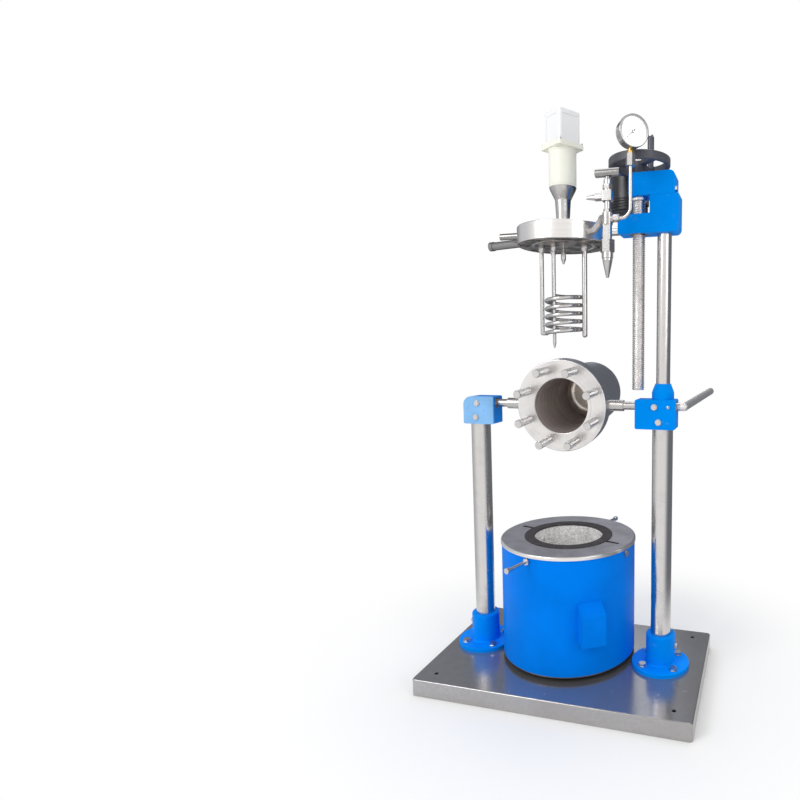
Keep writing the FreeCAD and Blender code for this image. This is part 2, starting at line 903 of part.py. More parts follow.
def make_carriage():
    """The block that slides on the guide rod, its nut and the arm that carries the lid."""
    carriage = front_profile(
        [
            (carriage_left, carriage_bottom_z, 3),
            (carriage_right, carriage_bottom_z, carriage_corner),
            (carriage_right, carriage_top_z, 3),
            (carriage_boss_left, carriage_top_z, 3),
            (carriage_boss_left, carriage_arm_top_z, 3),
            (carriage_left + carriage_chamfer_x, carriage_arm_top_z),
            (carriage_left, carriage_arm_top_z - carriage_chamfer_z),
        ],
        head_front_y,
        head_back_y,
    )
    guide_start = vector(right_column_x, column_y, carriage_bottom_z - 1)
    guide_bore = cylinder(guide_rod_radius + running_gap, guide_start, up, carriage_height + 2)
    nut_start = vector(screw_x, column_y, carriage_bottom_z)
    nut_bore = cylinder(lift_nut_radius + seat_gap, nut_start - up, up, carriage_arm_height + 2)
    arm_z = lid_mid_z + lid_arm_rise
    arm_depth = screw_x - lift_nut_radius - carriage_left - lift_nut_wall
    arm_start = vector(vessel_x + flange_radius - bar_socket_depth, column_y, arm_z)
    arm_end_x = carriage_left + arm_depth
    arm_bore = cylinder(
        lid_arm_radius + seat_gap, vector(carriage_left - 1, column_y, arm_z), right, arm_depth + 1
    )
    save("carriage_block", carriage.cut(guide_bore).cut(nut_bore).cut(arm_bore))
    nut = ring(lift_nut_radius, screw_radius + running_gap, nut_start, up, carriage_arm_height)
    save("lift_nut", nut)
    save("lid_arm", cylinder(lid_arm_radius, arm_start, right, arm_end_x - arm_start.x))
    return arm_start


def make_lid(arm_start):
    """The round lid with its stud holes, seal groove and sockets for tubes and bars."""
    groove_inner = seal_mean_radius - seal_width / 2 - clear_gap
    groove_outer = seal_mean_radius + seal_width / 2 + clear_gap
    groove_top = lid_bottom_z + seal_height + clear_gap
    lid = turned(
        [
            (spigot_radius + seat_gap, lid_bottom_z),
            (groove_inner, lid_bottom_z),
            (groove_inner, groove_top),
            (groove_outer, groove_top),
            (groove_outer, lid_bottom_z),
            (flange_radius, lid_bottom_z, lid_edge),
            (flange_radius, lid_top_z, lid_edge),
            (spigot_radius + seat_gap, lid_top_z),
        ],
        vector(vessel_x, column_y, 0),
    )
    cutters = []
    for index in range(stud_count):
        angle = 360.0 / stud_count * (index + 0.5)
        start = polar(vessel_x, column_y, stud_circle, angle, lid_bottom_z - 1)
        cutters.append(cylinder(stud_radius + stud_hole_gap, start, up, lid_thickness + 2))
    coil_end_angle = coil_start_angle - coil_open_angle
    tube_places = [
        (polar(vessel_x, column_y, coil_riser_radius, coil_start_angle, 0), coil_tube_radius),
        (polar(vessel_x, column_y, coil_radius, coil_end_angle, 0), coil_tube_radius),
        (vector(dip_tube_x, dip_tube_y, 0), dip_tube_radius),
        (vector(well_x, well_y, 0), well_radius),
    ]
    for point, radius in tube_places:
        start = vector(point.x, point.y, lid_bottom_z - 1)
        cutters.append(cylinder(radius + seat_gap, start, up, lid_socket_depth + 1))
    cutters.append(cylinder(lid_arm_radius + seat_gap, arm_start, right, bar_socket_depth * 3))
    for start, direction, radius in lid_bar_seats():
        cutters.append(cylinder(radius + seat_gap, start, direction, bar_socket_depth * 3))
    for cutter in cutters:
        lid = lid.cut(cutter)
    save("lid", lid)


def lid_bar_seats():
    """Start, direction and radius of the two bars and the branch pipe in the lid's edge."""
    seats = []
    bars = [
        (bar_angle, lid_mid_z, bar_radius),
        (rod_angle, lid_top_z - rod_below_top, rod_radius),
        (branch_angle(), lid_top_z - branch_below_top, branch_pipe_radius),
    ]
    for angle, height, radius in bars:
        start = polar(vessel_x, column_y, flange_radius - bar_socket_depth, angle, height)
        direction = polar(0, 0, 1, angle, 0)
        seats.append((start, direction, radius))
    return seats


def branch_angle():
    """The direction from the lid's axis to the valve group."""
    return math.degrees(math.atan2(valve_y - column_y, valve_x - vessel_x))


def make_lid_bars():
    """The lifting bar with its end cap, and the smaller rod beside it."""
    seats = lid_bar_seats()
    start, direction, radius = seats[0]
    bar = cylinder(radius, start, direction, bar_socket_depth + bar_length)
    cap_start = start + direction * (bar_socket_depth + bar_length - bar_cap_length)
    cap = cylinder(bar_cap_radius, cap_start, direction, bar_cap_length)
    start, direction, radius = seats[1]
    rod = cylinder(radius, start, direction, bar_socket_depth + rod_length)
    save("lid_bars", [joined([bar, cap]), rod])


def make_drive():
    """The shaft seal housing, the coupling housing, the motor and the stirrer shaft."""
    centre = vector(vessel_x, column_y, 0)
    shaft_bore = shaft_radius + running_gap
    shaft_top_z = lid_top_z + shaft_above_lid
    neck_top_z = lid_top_z + neck_height
    cone_top_z = neck_top_z + cone_height
    seal_housing = turned(
        [
            (shaft_bore, lid_bottom_z),
            (spigot_radius, lid_bottom_z),
            (spigot_radius, lid_top_z),
            (neck_radius + foot_ring_width, lid_top_z),
            (neck_radius + foot_ring_width, lid_top_z + foot_ring_height, 1),
            (neck_radius, lid_top_z + foot_ring_height, 3),
            (neck_radius + neck_taper, neck_top_z, neck_round),
            (coupling_radius - 2, cone_top_z - 6, 6),
            (coupling_radius, cone_top_z),
            (shaft_bore, cone_top_z),
        ],
        centre,
    )
    save("seal_housing", seal_housing)
    coupling = turned(
        [
            (coupling_radius - coupling_wall, cone_top_z),
            (coupling_radius - 1.5, cone_top_z, 1),
            (coupling_radius, cone_top_z + coupling_lip),
            (coupling_radius, motor_base_z - coupling_lip),
            (coupling_radius + 1.5, motor_base_z - 6),
            (coupling_radius + 1.5, motor_base_z),
            (coupling_radius - coupling_wall, motor_base_z),
        ],
        centre,
    )
    save("coupling_housing", coupling)

    half = motor_flange_side / 2
    plate_top = motor_base_z + motor_flange_thickness
    plate = rounded_plate(half, half, motor_flange_corner, motor_base_z, plate_top)
    for angle in corner_angles:
        start = polar(0, 0, half * 1.18, angle, motor_base_z - 1)
        plate = plate.cut(cylinder(motor_screw_radius, start, up, motor_flange_thickness + 2))
    place_motor(plate, "motor_flange")
    side = motor_side / 2
    cover = rounded_plate(side, side, motor_corner, plate_top, plate_top + motor_height)
    cap_z = plate_top + motor_height
    cap_edges = [edge for edge in cover.Edges if edge.BoundBox.ZMin > cap_z - 0.01]
    cover = cover.makeFillet(motor_cap_round, cap_edges)
    for turn in range(4):
        recess = block(
            (motor_recess_edge - side, side - motor_recess_edge),
            (side - motor_recess_depth, side + 5),
            (plate_top + motor_recess_edge, cap_z - motor_recess_edge - 4),
        )
        recess.rotate(vector(0, 0, 0), up, 90.0 * turn)
        cover = cover.cut(recess)
    place_motor(cover, "motor_cover")

    shaft_bottom_z = lid_bottom_z - shaft_below_lid
    shaft = turned(
        [
            (0, shaft_bottom_z),
            (shaft_end_radius * 0.3, shaft_bottom_z),
            (shaft_end_radius, shaft_bottom_z + shaft_end_length / 2, shaft_end_round),
            (shaft_end_radius, shaft_bottom_z + shaft_end_length, 1),
            (shaft_radius, shaft_bottom_z + shaft_end_length),
            (shaft_radius, shaft_top_z),
            (0, shaft_top_z),
        ],
        centre,
    )
    save("stirrer_shaft", shaft)


def place_motor(shape, name):
    """Turn a motor piece about the lid's axis to its real direction and save it."""
    shape.rotate(vector(0, 0, 0), up, drive_turn)
    shape.translate(vector(vessel_x, column_y, 0))
    save(name, shape)


def make_internals():
    """The cooling coil with its two risers, the dip tube and the thermowell."""
    seat_z = lid_bottom_z + lid_socket_depth - 1
    coil_bottom_z = lid_bottom_z - coil_bottom_drop
    height = coil_pitch * (coil_turns - coil_open_angle / 360.0)
    helix = Part.makeHelix(coil_pitch, height, coil_radius)
    profile = Part.Wire([Part.makeCircle(coil_tube_radius, vector(coil_radius, 0, 0), back)])
    turns = Part.Wire(helix.Edges).makePipeShell([profile], True, True)
    turn_start = vector(coil_radius, 0, 0)
    riser_foot = vector(coil_riser_radius, 0, 0)
    riser_length = seat_z - coil_bottom_z
    link = cylinder(coil_tube_radius, turn_start, right, coil_riser_radius - coil_radius)
    riser = cylinder(coil_tube_radius, riser_foot, up, riser_length)
    knuckle = Part.makeSphere(coil_tube_radius, riser_foot)
    start_knuckle = Part.makeSphere(coil_tube_radius, turn_start)
    top_point = polar(0, 0, coil_radius, -coil_open_angle, height)
    top_riser = cylinder(coil_tube_radius, top_point, up, riser_length - height)
    top_knuckle = Part.makeSphere(coil_tube_radius, top_point)
    coil = turns.fuse([link, riser, knuckle, start_knuckle, top_riser, top_knuckle])
    coil.rotate(vector(0, 0, 0), up, coil_start_angle)
    coil.translate(vector(vessel_x, column_y, coil_bottom_z))
    save("cooling_coil", coil)

    tip_z = lid_bottom_z - dip_tube_drop
    dip_tube = turned(
        [
            (0, tip_z),
            (1.5, tip_z),
            (dip_tube_radius, tip_z + dip_tip_length),
            (dip_tube_radius, seat_z),
            (0, seat_z),
        ],
        vector(dip_tube_x, dip_tube_y, 0),
    )
    save("dip_tube", dip_tube)
    well_foot_z = lid_bottom_z - well_drop
    well = turned(
        [
            (0, well_foot_z),
            (well_radius, well_foot_z, well_radius * 0.9),
            (well_radius, seat_z),
            (0, seat_z),
        ],
        vector(well_x, well_y, 0),
    )
    save("thermowell", well)


def make_valves():
    """The branch pipe from the lid, the cross, the needle valve and the relief valve."""
    angle = branch_angle()
    start, outward, radius = lid_bar_seats()[2]
    edge_point = polar(vessel_x, column_y, flange_radius, angle, start.z)
    to_cross = math.hypot(valve_x - vessel_x, valve_y - column_y) - flange_radius
    rise_end = edge_point + outward * (to_cross - cross_radius - branch_run / 2)
    rise_end.z = cross_z
    pipe_end = edge_point + outward * (to_cross - cross_radius)
    pipe_end.z = cross_z
    first_bend = edge_point + outward * (branch_run / 2)
    pipe = bent_bar([start, first_bend, rise_end, pipe_end], branch_pipe_radius, branch_bend)
    nut_start = pipe_end - outward * branch_nut_length
    nut = cylinder(branch_nut_radius, nut_start, outward, branch_nut_length)
    save("branch_pipe", joined([pipe, nut]))

    axis = vector(valve_x, valve_y, 0)
    cross_low = axis + up * (cross_z - cross_half_height)
    cross = cylinder(cross_radius, cross_low, up, cross_half_height * 2)
    arm = cylinder(cross_radius - 3, axis + up * cross_z, outward * -1, cross_radius)
    gauge_arm = cylinder(cross_radius - 3, axis + up * cross_z, right, cross_radius + 2)
    save("manifold_cross", joined([cross, arm, gauge_arm]))

    neck_z = cross_z + cross_half_height
    body_z = neck_z + valve_neck_height
    bonnet_z = body_z + valve_body_height
    stem_z = bonnet_z + valve_bonnet_height
    neck = cylinder(valve_neck_radius, axis + up * neck_z, up, valve_neck_height)
    neck_nut = hexagon(valve_neck_radius * 2.4, axis + up * neck_z, up, neck_nut_height)
    half = valve_body_across / 2
    body = block(
        (valve_x - half, valve_x + half),
        (valve_y - half, valve_y + half),
        (body_z, bonnet_z),
    )
    body = body.makeFillet(3.0, [edge for edge in body.Edges if is_upright(edge)])
    bonnet = cylinder(valve_bonnet_radius, axis + up * bonnet_z, up, valve_bonnet_height)
    bonnet_nut_foot = axis + up * (bonnet_z + bonnet_nut_rise)
    bonnet_nut = hexagon(valve_bonnet_radius * 2.2, bonnet_nut_foot, up, bonnet_nut_height)
    valve = joined([neck, neck_nut, body, bonnet, bonnet_nut])
    hole_foot = axis + up * (stem_z - stem_hole_depth)
    stem_hole = cylinder(valve_stem_radius + running_gap, hole_foot, up, stem_hole_depth + 1)
    save("valve_body", valve.cut(stem_hole))

    bar_z = stem_z + valve_stem_height + tee_bar_radius
    stem = cylinder(valve_stem_radius, hole_foot + up, up, bar_z - hole_foot.z - 1)
    boss = cylinder(valve_stem_radius + 3, axis + up * (stem_z + 1), up, valve_stem_height)
    bar_start = axis + up * bar_z - right * (tee_bar_length / 2)
    bar = turned(
        [
            (0, 0),
            (tee_bar_radius, 0, 3),
            (tee_bar_radius, tee_bar_length, 3),
            (0, tee_bar_length),
        ]
    )
    bar.rotate(vector(0, 0, 0), back, 90)
    bar.translate(bar_start)
    save("valve_handle", joined([stem, boss, bar]))

    vent_z = body_z + valve_body_height * 0.45
    vent_start = vector(valve_x - half, valve_y, vent_z)
    vent_nut = hexagon(vent_nut_across, vent_start, right * -1, vent_nut_length)
    tip_start = vent_start - right * vent_nut_length
    tip = cone(vent_nut_across / 2 - 1, vent_tip_radius, tip_start, right * -1, vent_tip_length)
    save("vent_nozzle", joined([vent_nut, tip]))

    block_top = cross_z - cross_half_height
    side = relief_block_side / 2
    block_foot = block_top - relief_block_height
    relief_block = block(
        (valve_x - side, valve_x + side), (valve_y - side, valve_y + side), (block_foot, block_top)
    )
    hex_foot = block_foot - relief_hex_height
    relief_hex = hexagon(relief_hex_across, axis + up * hex_foot, up, relief_hex_height)
    spring_case = turned(
        [
            (0, hex_foot - relief_ring_height - relief_tip_height),
            (relief_tip_radius, hex_foot - relief_ring_height - relief_tip_height),
            (relief_ring_radius - 2, hex_foot - relief_ring_height),
            (relief_ring_radius - 2, hex_foot - relief_ring_height + 5),
            (relief_ring_radius, hex_foot - relief_ring_height + 7),
            (relief_ring_radius, hex_foot),
            (0, hex_foot),
        ],
        axis,
    )
    save("relief_valve", joined([relief_block, relief_hex, spring_case]))


def is_upright(edge):
    """True for an edge that runs along Z."""
    box = edge.BoundBox
    return box.ZLength > 1.0 and box.XLength < 0.01 and box.YLength < 0.01


def make_gauge():
    """The gauge tube, its fittings, and the gauge with dial, pointer and glass."""
    port = vector(valve_x + cross_radius + 2, valve_y, cross_z)
    nut = hexagon(gauge_nut_radius * 2, port, right, gauge_nut_length)
    corner = vector(gauge_x, valve_y, cross_z)
    top = vector(gauge_x, valve_y, gauge_fitting_z)
    tube_start = port + right * gauge_nut_length
    tube = bent_bar([tube_start, corner, top], gauge_tube_radius, gauge_tube_bend)
    save("gauge_tube", joined([nut, tube]))
    fitting = hexagon(gauge_fitting_across, top, up, gauge_fitting_height)
    save("gauge_fitting", fitting)
    stem_start = top + up * gauge_fitting_height
    case_z = gauge_fitting_z + gauge_fitting_height + gauge_stem_height + gauge_radius
    stem = cylinder(gauge_stem_radius, stem_start, up, gauge_stem_height)
    stem_nut = hexagon(gauge_stem_radius * 2.3, stem_start, up, 6)

    rear = -gauge_stem_from_back
    front = rear + gauge_depth
    bore = gauge_radius - gauge_wall
    lip = bore - bezel_lip
    glass_back = front - gauge_wall - glass_thickness
    case = turned(
        [
            (0, rear),
            (gauge_radius, rear, 3),
            (gauge_radius, front - bezel_height),
            (gauge_radius + 2, front - bezel_height + 1, 1),
            (gauge_radius + 2, front, 2),
            (lip, front),
            (lip, front - gauge_wall),
            (bore, front - gauge_wall),
            (bore, rear + gauge_wall),
            (0, rear + gauge_wall),
        ]
    )
    glass = cylinder(bore - seat_gap, vector(0, 0, glass_back), up, glass_thickness)
    dial_front = glass_back - dial_below_glass
    dial = cylinder(bore - seat_gap, vector(0, 0, dial_front - dial_thickness), up, dial_thickness)
    spindle = cylinder(spindle_radius, vector(0, 0, dial_front), up, pointer_thickness + 2.2)
    dial = joined([dial, spindle])
    pointer_z = dial_front + 1.2
    hub = cylinder(pointer_hub_radius, vector(0, 0, pointer_z), up, pointer_thickness)
    needle = plan_profile(
        [
            (-pointer_width / 2, -pointer_tail),
            (pointer_width / 2, -pointer_tail),
            (0.5, pointer_length),
            (-0.5, pointer_length),
        ],
        pointer_z,
        pointer_z + pointer_thickness,
    )
    needle = joined([hub, needle])
    needle = needle.cut(cylinder(spindle_radius + running_gap, vector(0, 0, pointer_z - 1), up, 6))
    needle.rotate(vector(0, 0, 0), up, pointer_rest_angle)
    place = FreeCAD.Placement(
        vector(gauge_x, valve_y, case_z),
        FreeCAD.Rotation(up, gauge_turn).multiply(FreeCAD.Rotation(right, 90)),
    )
    case.Placement = place
    case_space = cylinder(gauge_radius, vector(0, 0, rear), up, gauge_depth)
    case_space.Placement = place
    save("gauge_stem", stem.fuse(stem_nut).cut(case_space))
    save("gauge_case", case)
    for name, shape in (("gauge_glass", glass), ("gauge_dial", dial), ("gauge_pointer", needle)):
        save(name, shape.transformed(place.toMatrix()))


def rest_vessel(shape):
    """Tip a piece of the vessel from upright to its resting place on the trunnions."""
    tilt = FreeCAD.Rotation(right, rest_tilt)
    place = FreeCAD.Placement(vector(vessel_x, column_y, trunnion_z), tilt)
    return shape.transformed(place.toMatrix())


def make_vessel():
    """The vessel with its flange, studs, trunnions and tilting handle."""
    face = face_above_axis
    under = face - flange_thickness
    foot = -vessel_behind_axis
    seal_inner = seal_mean_radius - seal_width / 2
    seal_outer = seal_mean_radius + seal_width / 2
    vessel = turned(
        [
            (0, foot),
            (vessel_body_radius, foot, vessel_outer_corner),
            (vessel_body_radius, under, 5),
            (vessel_flange_radius, under, 2),
            (vessel_flange_radius, face, 2),
            (seal_outer, face),
            (seal_outer, face + seal_height),
            (seal_inner, face + seal_height),
            (seal_inner, face),
            (bore_radius, face - 1),
            (bore_radius, foot + vessel_bottom, vessel_inner_corner),
            (0, foot + vessel_bottom),
        ]
    )
    studs = []
    for index in range(stud_count):
        angle = 360.0 / stud_count * (index + 0.5)
        seat = polar(0, 0, stud_circle, angle, face - stud_thread_depth)
        vessel = vessel.cut(cylinder(stud_radius + seat_gap, seat, up, stud_thread_depth + seal_height))
        stud = turned(
            [
                (0, 0),
                (stud_radius, 0),
                (stud_radius, stud_thread_depth + stud_stand, 3),
                (0, stud_thread_depth + stud_stand),
            ],
            seat,
        )
        studs.append(rest_vessel(stud))
    boss_bore = trunnion_boss_radius + seat_gap
    seat_x = vessel_flange_radius - trunnion_socket_depth
    for way in (-1, 1):
        start = vector(way * seat_x, 0, 0)
        vessel = vessel.cut(cylinder(boss_bore, start, right * way, trunnion_socket_depth + 1))
    save("vessel", rest_vessel(vessel))
    save("vessel_studs", studs)

    handle_x = right_block_end + handle_offset - vessel_x
    left_end = vessel_x - left_column_x - shaft_end_inset
    shafts = []
    for way, end in ((-1, left_end), (1, handle_x)):
        start = vector(way * seat_x, 0, 0)
        boss_length = trunnion_socket_depth + trunnion_boss_length
        boss = cylinder(trunnion_boss_radius, start, right * way, boss_length)
        neck_start = vector(way * (seat_x + boss_length), 0, 0)
        neck = cylinder(trunnion_radius, neck_start, right * way, end - seat_x - boss_length)
        shafts.append(rest_vessel(joined([boss, neck])))
    save("trunnion_shafts", shafts)

    flare = math.radians(handle_flare)
    down = vector(math.sin(flare), 0, -math.cos(flare))
    elbow = vector(handle_x, 0, 0)
    elbow_ball = Part.makeSphere(trunnion_radius, elbow + right * trunnion_radius)
    lever_start = elbow + right * trunnion_radius
    lever = cylinder(handle_radius, lever_start, down, handle_length)
    root = cylinder(trunnion_radius, elbow, right, trunnion_radius)
    end_ball = Part.makeSphere(handle_radius, lever_start + down * handle_length)
    save("tilt_handle", rest_vessel(joined([root, elbow_ball, lever, end_ball])))


def furnace_point(radius, angle, z):
    """A point about the furnace, its angle counted from the front towards the right."""
    return polar(vessel_x, furnace_y, radius, angle - 90.0, z)


def furnace_way(angle):
    """The outward direction at an angle counted from the front towards the right."""
    return polar(0, 0, 1, angle - 90.0, 0)


def make_furnace():
    """The furnace: shell, cover, ring, ceramic lining, heating rings, box and pins."""
    centre = vector(vessel_x, furnace_y, 0)
    plate_top_z = furnace_bottom_z + furnace_plate
    cover_low_z = furnace_top_z - cover_rim_height
    shell_inner = furnace_radius - furnace_shell_wall
    pin_z = furnace_top_z - pin_z_below_top
    shell_top_z = furnace_top_z - cover_sheet
    shell_foot = centre + up * plate_top_z
    shell = ring(furnace_radius, shell_inner, shell_foot, up, shell_top_z - plate_top_z)
    pin_ways = [
        (pin_angle, pin_length),
        (pin_angle + 180, pin_length),
        (bolt_angle, 0),
        (bolt_angle + 180, 0),
    ]
    pins = []
    for angle, length in pin_ways:
        way = furnace_way(angle)
        start = furnace_point(shell_inner + seat_gap, angle, pin_z)
        shell = shell.cut(cylinder(pin_radius + seat_gap, start - way * 4, way, pin_bore_reach))
        nut_start = furnace_point(furnace_radius, angle, pin_z)
        nut = hexagon(pin_nut_radius * 2, nut_start + way * 0.2, way, pin_nut_length)
        pieces = [cylinder(pin_radius, start, way, pin_nut_length + furnace_shell_wall), nut]
        if length:
            pieces.append(cylinder(pin_radius, start, way, length))
            knob_start = start + way * length
            pieces.append(cylinder(pin_knob_radius, knob_start, way, pin_knob_length))
        pins.append(joined(pieces))
    save("furnace_pins", pins)
    save("furnace_shell", shell)

    rim_outer = furnace_radius + seat_gap * 5 + cover_sheet
    rim_inner = furnace_radius + seat_gap * 5
    cover = turned(
        [
            (cover_opening_radius, shell_top_z),
            (rim_inner, shell_top_z),
            (rim_inner, cover_low_z),
            (rim_outer, cover_low_z),
            (rim_outer, furnace_top_z, cover_edge_round),
            (cover_opening_radius, furnace_top_z),
        ],
        centre,
    )
    for angle in (cover_slot_angle, cover_slot_angle + 180):
        slot = block(
            (-cover_slot_width / 2, cover_slot_width / 2),
            (-cover_opening_radius - cover_slot_length, -cover_opening_radius + 5),
            (shell_top_z - 1, furnace_top_z + 1),
        )
        slot.rotate(vector(0, 0, 0), up, angle)
        slot.translate(centre)
        cover = cover.cut(slot)
    save("furnace_cover", cover)

    ring_radius = cover_opening_radius - clear_gap
    ring_foot = centre + up * (furnace_top_z + collar_rise - collar_thickness)
    collar = ring(ring_radius, collar_opening_radius, ring_foot, up, collar_thickness)
    save("furnace_collar", collar)

    lining_top_z = shell_top_z - clear_gap
    recess_z = ring_foot.z - clear_gap
    floor_z = plate_top_z + lining_floor
    outline = [
        (0, plate_top_z),
        (shell_inner - seat_gap, plate_top_z),
        (shell_inner - seat_gap, lining_top_z),
        (cover_opening_radius, lining_top_z),
        (cover_opening_radius, recess_z),
        (lining_radius, recess_z),
    ]
    pitch = (recess_z - floor_z - lowest_groove_rise - highest_groove_drop) / heater_rings
    wires = []
    for index in reversed(range(heater_rings)):
        low = floor_z + lowest_groove_rise + pitch * index
        outline.append((lining_radius, low + groove_height))
        outline.append((lining_radius + groove_depth, low + groove_height))
        outline.append((lining_radius + groove_depth, low))
        outline.append((lining_radius, low))
        wire_z = low + clear_gap + heater_wire_radius
        wire_radius = lining_radius + groove_depth - heater_wire_radius - clear_gap
        wires.append(Part.makeTorus(wire_radius, heater_wire_radius, centre + up * wire_z))
    outline.append((lining_radius, floor_z))
    outline.append((0, floor_z))
    lining = turned(outline, centre)
    probe_z = furnace_top_z - probe_below_top
    probe_way = furnace_way(probe_angle)
    probe_start = furnace_point(lining_radius - probe_reach, probe_angle, probe_z)
    probe_length = probe_reach + probe_seat
    lining = lining.cut(cylinder(probe_radius + seat_gap, probe_start, probe_way, probe_length))
    probe = ring(probe_radius, probe_bore, probe_start, probe_way, probe_length)
    save("furnace_lining", lining)
    save("heating_rings", wires)
    save("furnace_probe", probe)

    plate = cylinder(furnace_radius, centre + up * furnace_bottom_z, up, furnace_plate)
    feet = [plate]
    for angle in corner_angles:
        foot = furnace_point(furnace_foot_circle, angle, base_height)
        feet.append(cylinder(furnace_foot_radius, foot, up, furnace_foot_height))
    save("furnace_bottom", joined(feet))

    half = junction_width / 2
    inner = furnace_radius - junction_overlap
    outer = furnace_radius + junction_depth
    side_view = [
        (-inner, junction_bottom_z),
        (-outer, junction_bottom_z, 3),
        (-outer, junction_front_top_z, 4),
        (-furnace_radius, junction_back_top_z),
        (-inner, junction_back_top_z),
    ]
    corners = profile_corners(side_view, lambda u, v: vector(-half, u, v))
    box = Part.Face(Part.Wire(rounded_edges(corners, True))).extrude(vector(junction_width, 0, 0))
    curve = cylinder(furnace_radius + seat_gap, vector(0, 0, 0), up, furnace_top_z)
    box = box.cut(curve)
    box.rotate(vector(0, 0, 0), up, junction_angle)
    box.translate(centre)
    save("junction_box", box)


def main():
    os.makedirs("parts", exist_ok=True)
    make_base()
    make_sockets()
    make_columns()
    make_clamp_blocks()
    make_head()
    make_screw()
    arm_start = make_carriage()
    make_lid(arm_start)
    make_lid_bars()
    make_drive()
    make_internals()
    make_valves()
    make_gauge()
    make_vessel()
    make_furnace()


main()
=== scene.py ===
"""Looks of a high pressure stirred reactor on its stand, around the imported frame.

Lengths are metres, angles degrees. X runs to the right, Y to the back and Z up.
"""

import math

import bmesh
import bpy
import numpy as np
from bpy.props import FloatProperty, FloatVectorProperty, IntProperty, PointerProperty
from mathutils import Euler, Matrix, Vector


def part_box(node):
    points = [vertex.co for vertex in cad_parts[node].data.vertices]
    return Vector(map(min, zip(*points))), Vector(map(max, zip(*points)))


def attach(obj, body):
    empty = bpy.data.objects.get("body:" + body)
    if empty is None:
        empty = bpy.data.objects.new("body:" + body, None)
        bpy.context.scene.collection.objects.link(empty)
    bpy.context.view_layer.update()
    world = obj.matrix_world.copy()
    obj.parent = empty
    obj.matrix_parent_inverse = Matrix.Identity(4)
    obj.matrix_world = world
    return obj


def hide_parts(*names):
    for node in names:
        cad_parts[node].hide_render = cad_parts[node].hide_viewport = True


bl_info = {
    "name": "High pressure reactor",
    "version": (1, 0, 0),
    "blender": (4, 5, 0),
    "location": "3D View > Sidebar > Reactor",
    "description": "Threads, dial, fittings and finishes of a high pressure reactor",
    "category": "Object",
}

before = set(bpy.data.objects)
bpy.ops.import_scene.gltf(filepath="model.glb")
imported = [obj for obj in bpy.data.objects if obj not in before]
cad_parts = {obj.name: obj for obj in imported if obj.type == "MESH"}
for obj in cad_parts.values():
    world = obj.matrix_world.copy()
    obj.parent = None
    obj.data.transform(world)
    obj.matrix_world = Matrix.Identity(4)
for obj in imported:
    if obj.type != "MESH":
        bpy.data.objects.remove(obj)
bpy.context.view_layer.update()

# The camera, which stands at the photo's view
camera_place = (0.5475, -1.6179, 0.9806)
camera_turn = math.radians(14.77)
camera_pitch = math.radians(90.0 - 6.48)
camera_lens = 25.92
camera_shift = (-0.262, 0.0245)


def sideways(x, y):
    """Share of the direction (x, y) that points to the right in the photo's view."""
    return x * math.cos(camera_turn) + y * math.sin(camera_turn)


def studio_walls(finish, x, y):
    """Brightness and colour of the studio seen from the reactor in the direction (x, y).

    It is white in front, grey at the left and dark at the right and behind.
    """
    towards = x * math.sin(camera_turn) - y * math.cos(camera_turn)
    values = {0: sideways(x, y), 1: towards}
    azimuth = finish.node("ShaderNodeMath", {"operation": "ARCTAN2"}, values)
    right = azimuth.span(0.40, 1.25)
    left = 1 - azimuth.span(-1.9, -0.9)
    behind = 1 - azimuth.span(-2.6, -2.1)
    level = (1 - right * 0.78) * (1 - left * 0.34) * (1 - behind * 0.6)
    return level, finish.mix(level, (0.80, 0.87, 1.0), (1, 1, 1))


def middle_of(node):
    """Middle of a node's box at rest."""
    low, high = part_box(node)
    return (low + high) / 2


def linear(red, green, blue):
    """A colour for a shader from levels of 0 to 255."""
    levels = []
    for level in (red, green, blue):
        share = level / 255
        low = share <= 0.04045
        levels.append(share / 12.92 if low else ((share + 0.055) / 1.055) ** 2.4)
    return tuple(levels)


lid_low, lid_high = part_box("lid")
lid_axis = middle_of("lid")
screw_axis = middle_of("lead_screw")
column_y = middle_of("right_column").y
trunnion_axis = Vector((lid_axis.x, column_y, middle_of("trunnion_bushes").z))
furnace_axis = middle_of("furnace_shell")
vessel_tilt = math.radians(94.0)
vessel_turn = (-vessel_tilt, 0, 0)
gauge_turn = math.radians(37.0)

# Sizes of the frame that the added pieces fit, in metres and degrees
screw_radius = 0.018
journal_radius = 0.012
screw_collar_height = 0.009
stud_circle = 0.112
stud_radius = 0.012
stud_foot = -0.006
stud_top = 0.116
flange_back = -0.017
bore_radius = 0.0825
flange_radius = 0.1375
vessel_inner_floor = -0.276
socket_bolt_circle = 0.065
socket_flange_top = 0.062
left_bolt_offset = 0.004
right_bolt_offset = -0.020
right_lower_bolt_offset = -0.008
coil_radius = 0.0505
coil_riser_radius = 0.0635
coil_start_angle = 195.0
coil_end_angle = 145.0
drive_turn = -34.0
dial_height = 0.0131
seal_screw_circle = 0.0232
seal_flange_height = 0.009
motor_screw_circle = 0.0531
lining_depth = 0.1125
coil_tube_radius = 0.006
dip_tube_radius = 0.005
thermowell_radius = 0.0075
stud_count = 8

# Sizes of the added pieces, in metres and degrees. A mark has the radius at which it starts
# and its width, a screw its head's radius and height.
thread_tip = 0.003
heater_ring_count = 7
heater_ring_half = 0.0035
heater_coil_radius = 0.0028
heater_wire_radius = 0.0006
scale_start = 225.0
scale_sweep = 270.0
scale_radius = 0.0315
mark_height = 0.00012
long_mark = (0.0262, 0.0009)
middle_mark = (0.0280, 0.0006)
short_mark = (0.0292, 0.00035)
number_circle = 0.0212
number_size = 0.0068
flange_washer_radius = 0.0125
block_washer_radius = 0.0090
nipple_offset = 0.020
seal_screw = (0.0022, 0.0026)
motor_screw = (0.0050, 0.0052)
floor_height = -0.0004

# Angle between two faces beyond which their edge is drawn sharp, in degrees
sharp_angle = 40.0


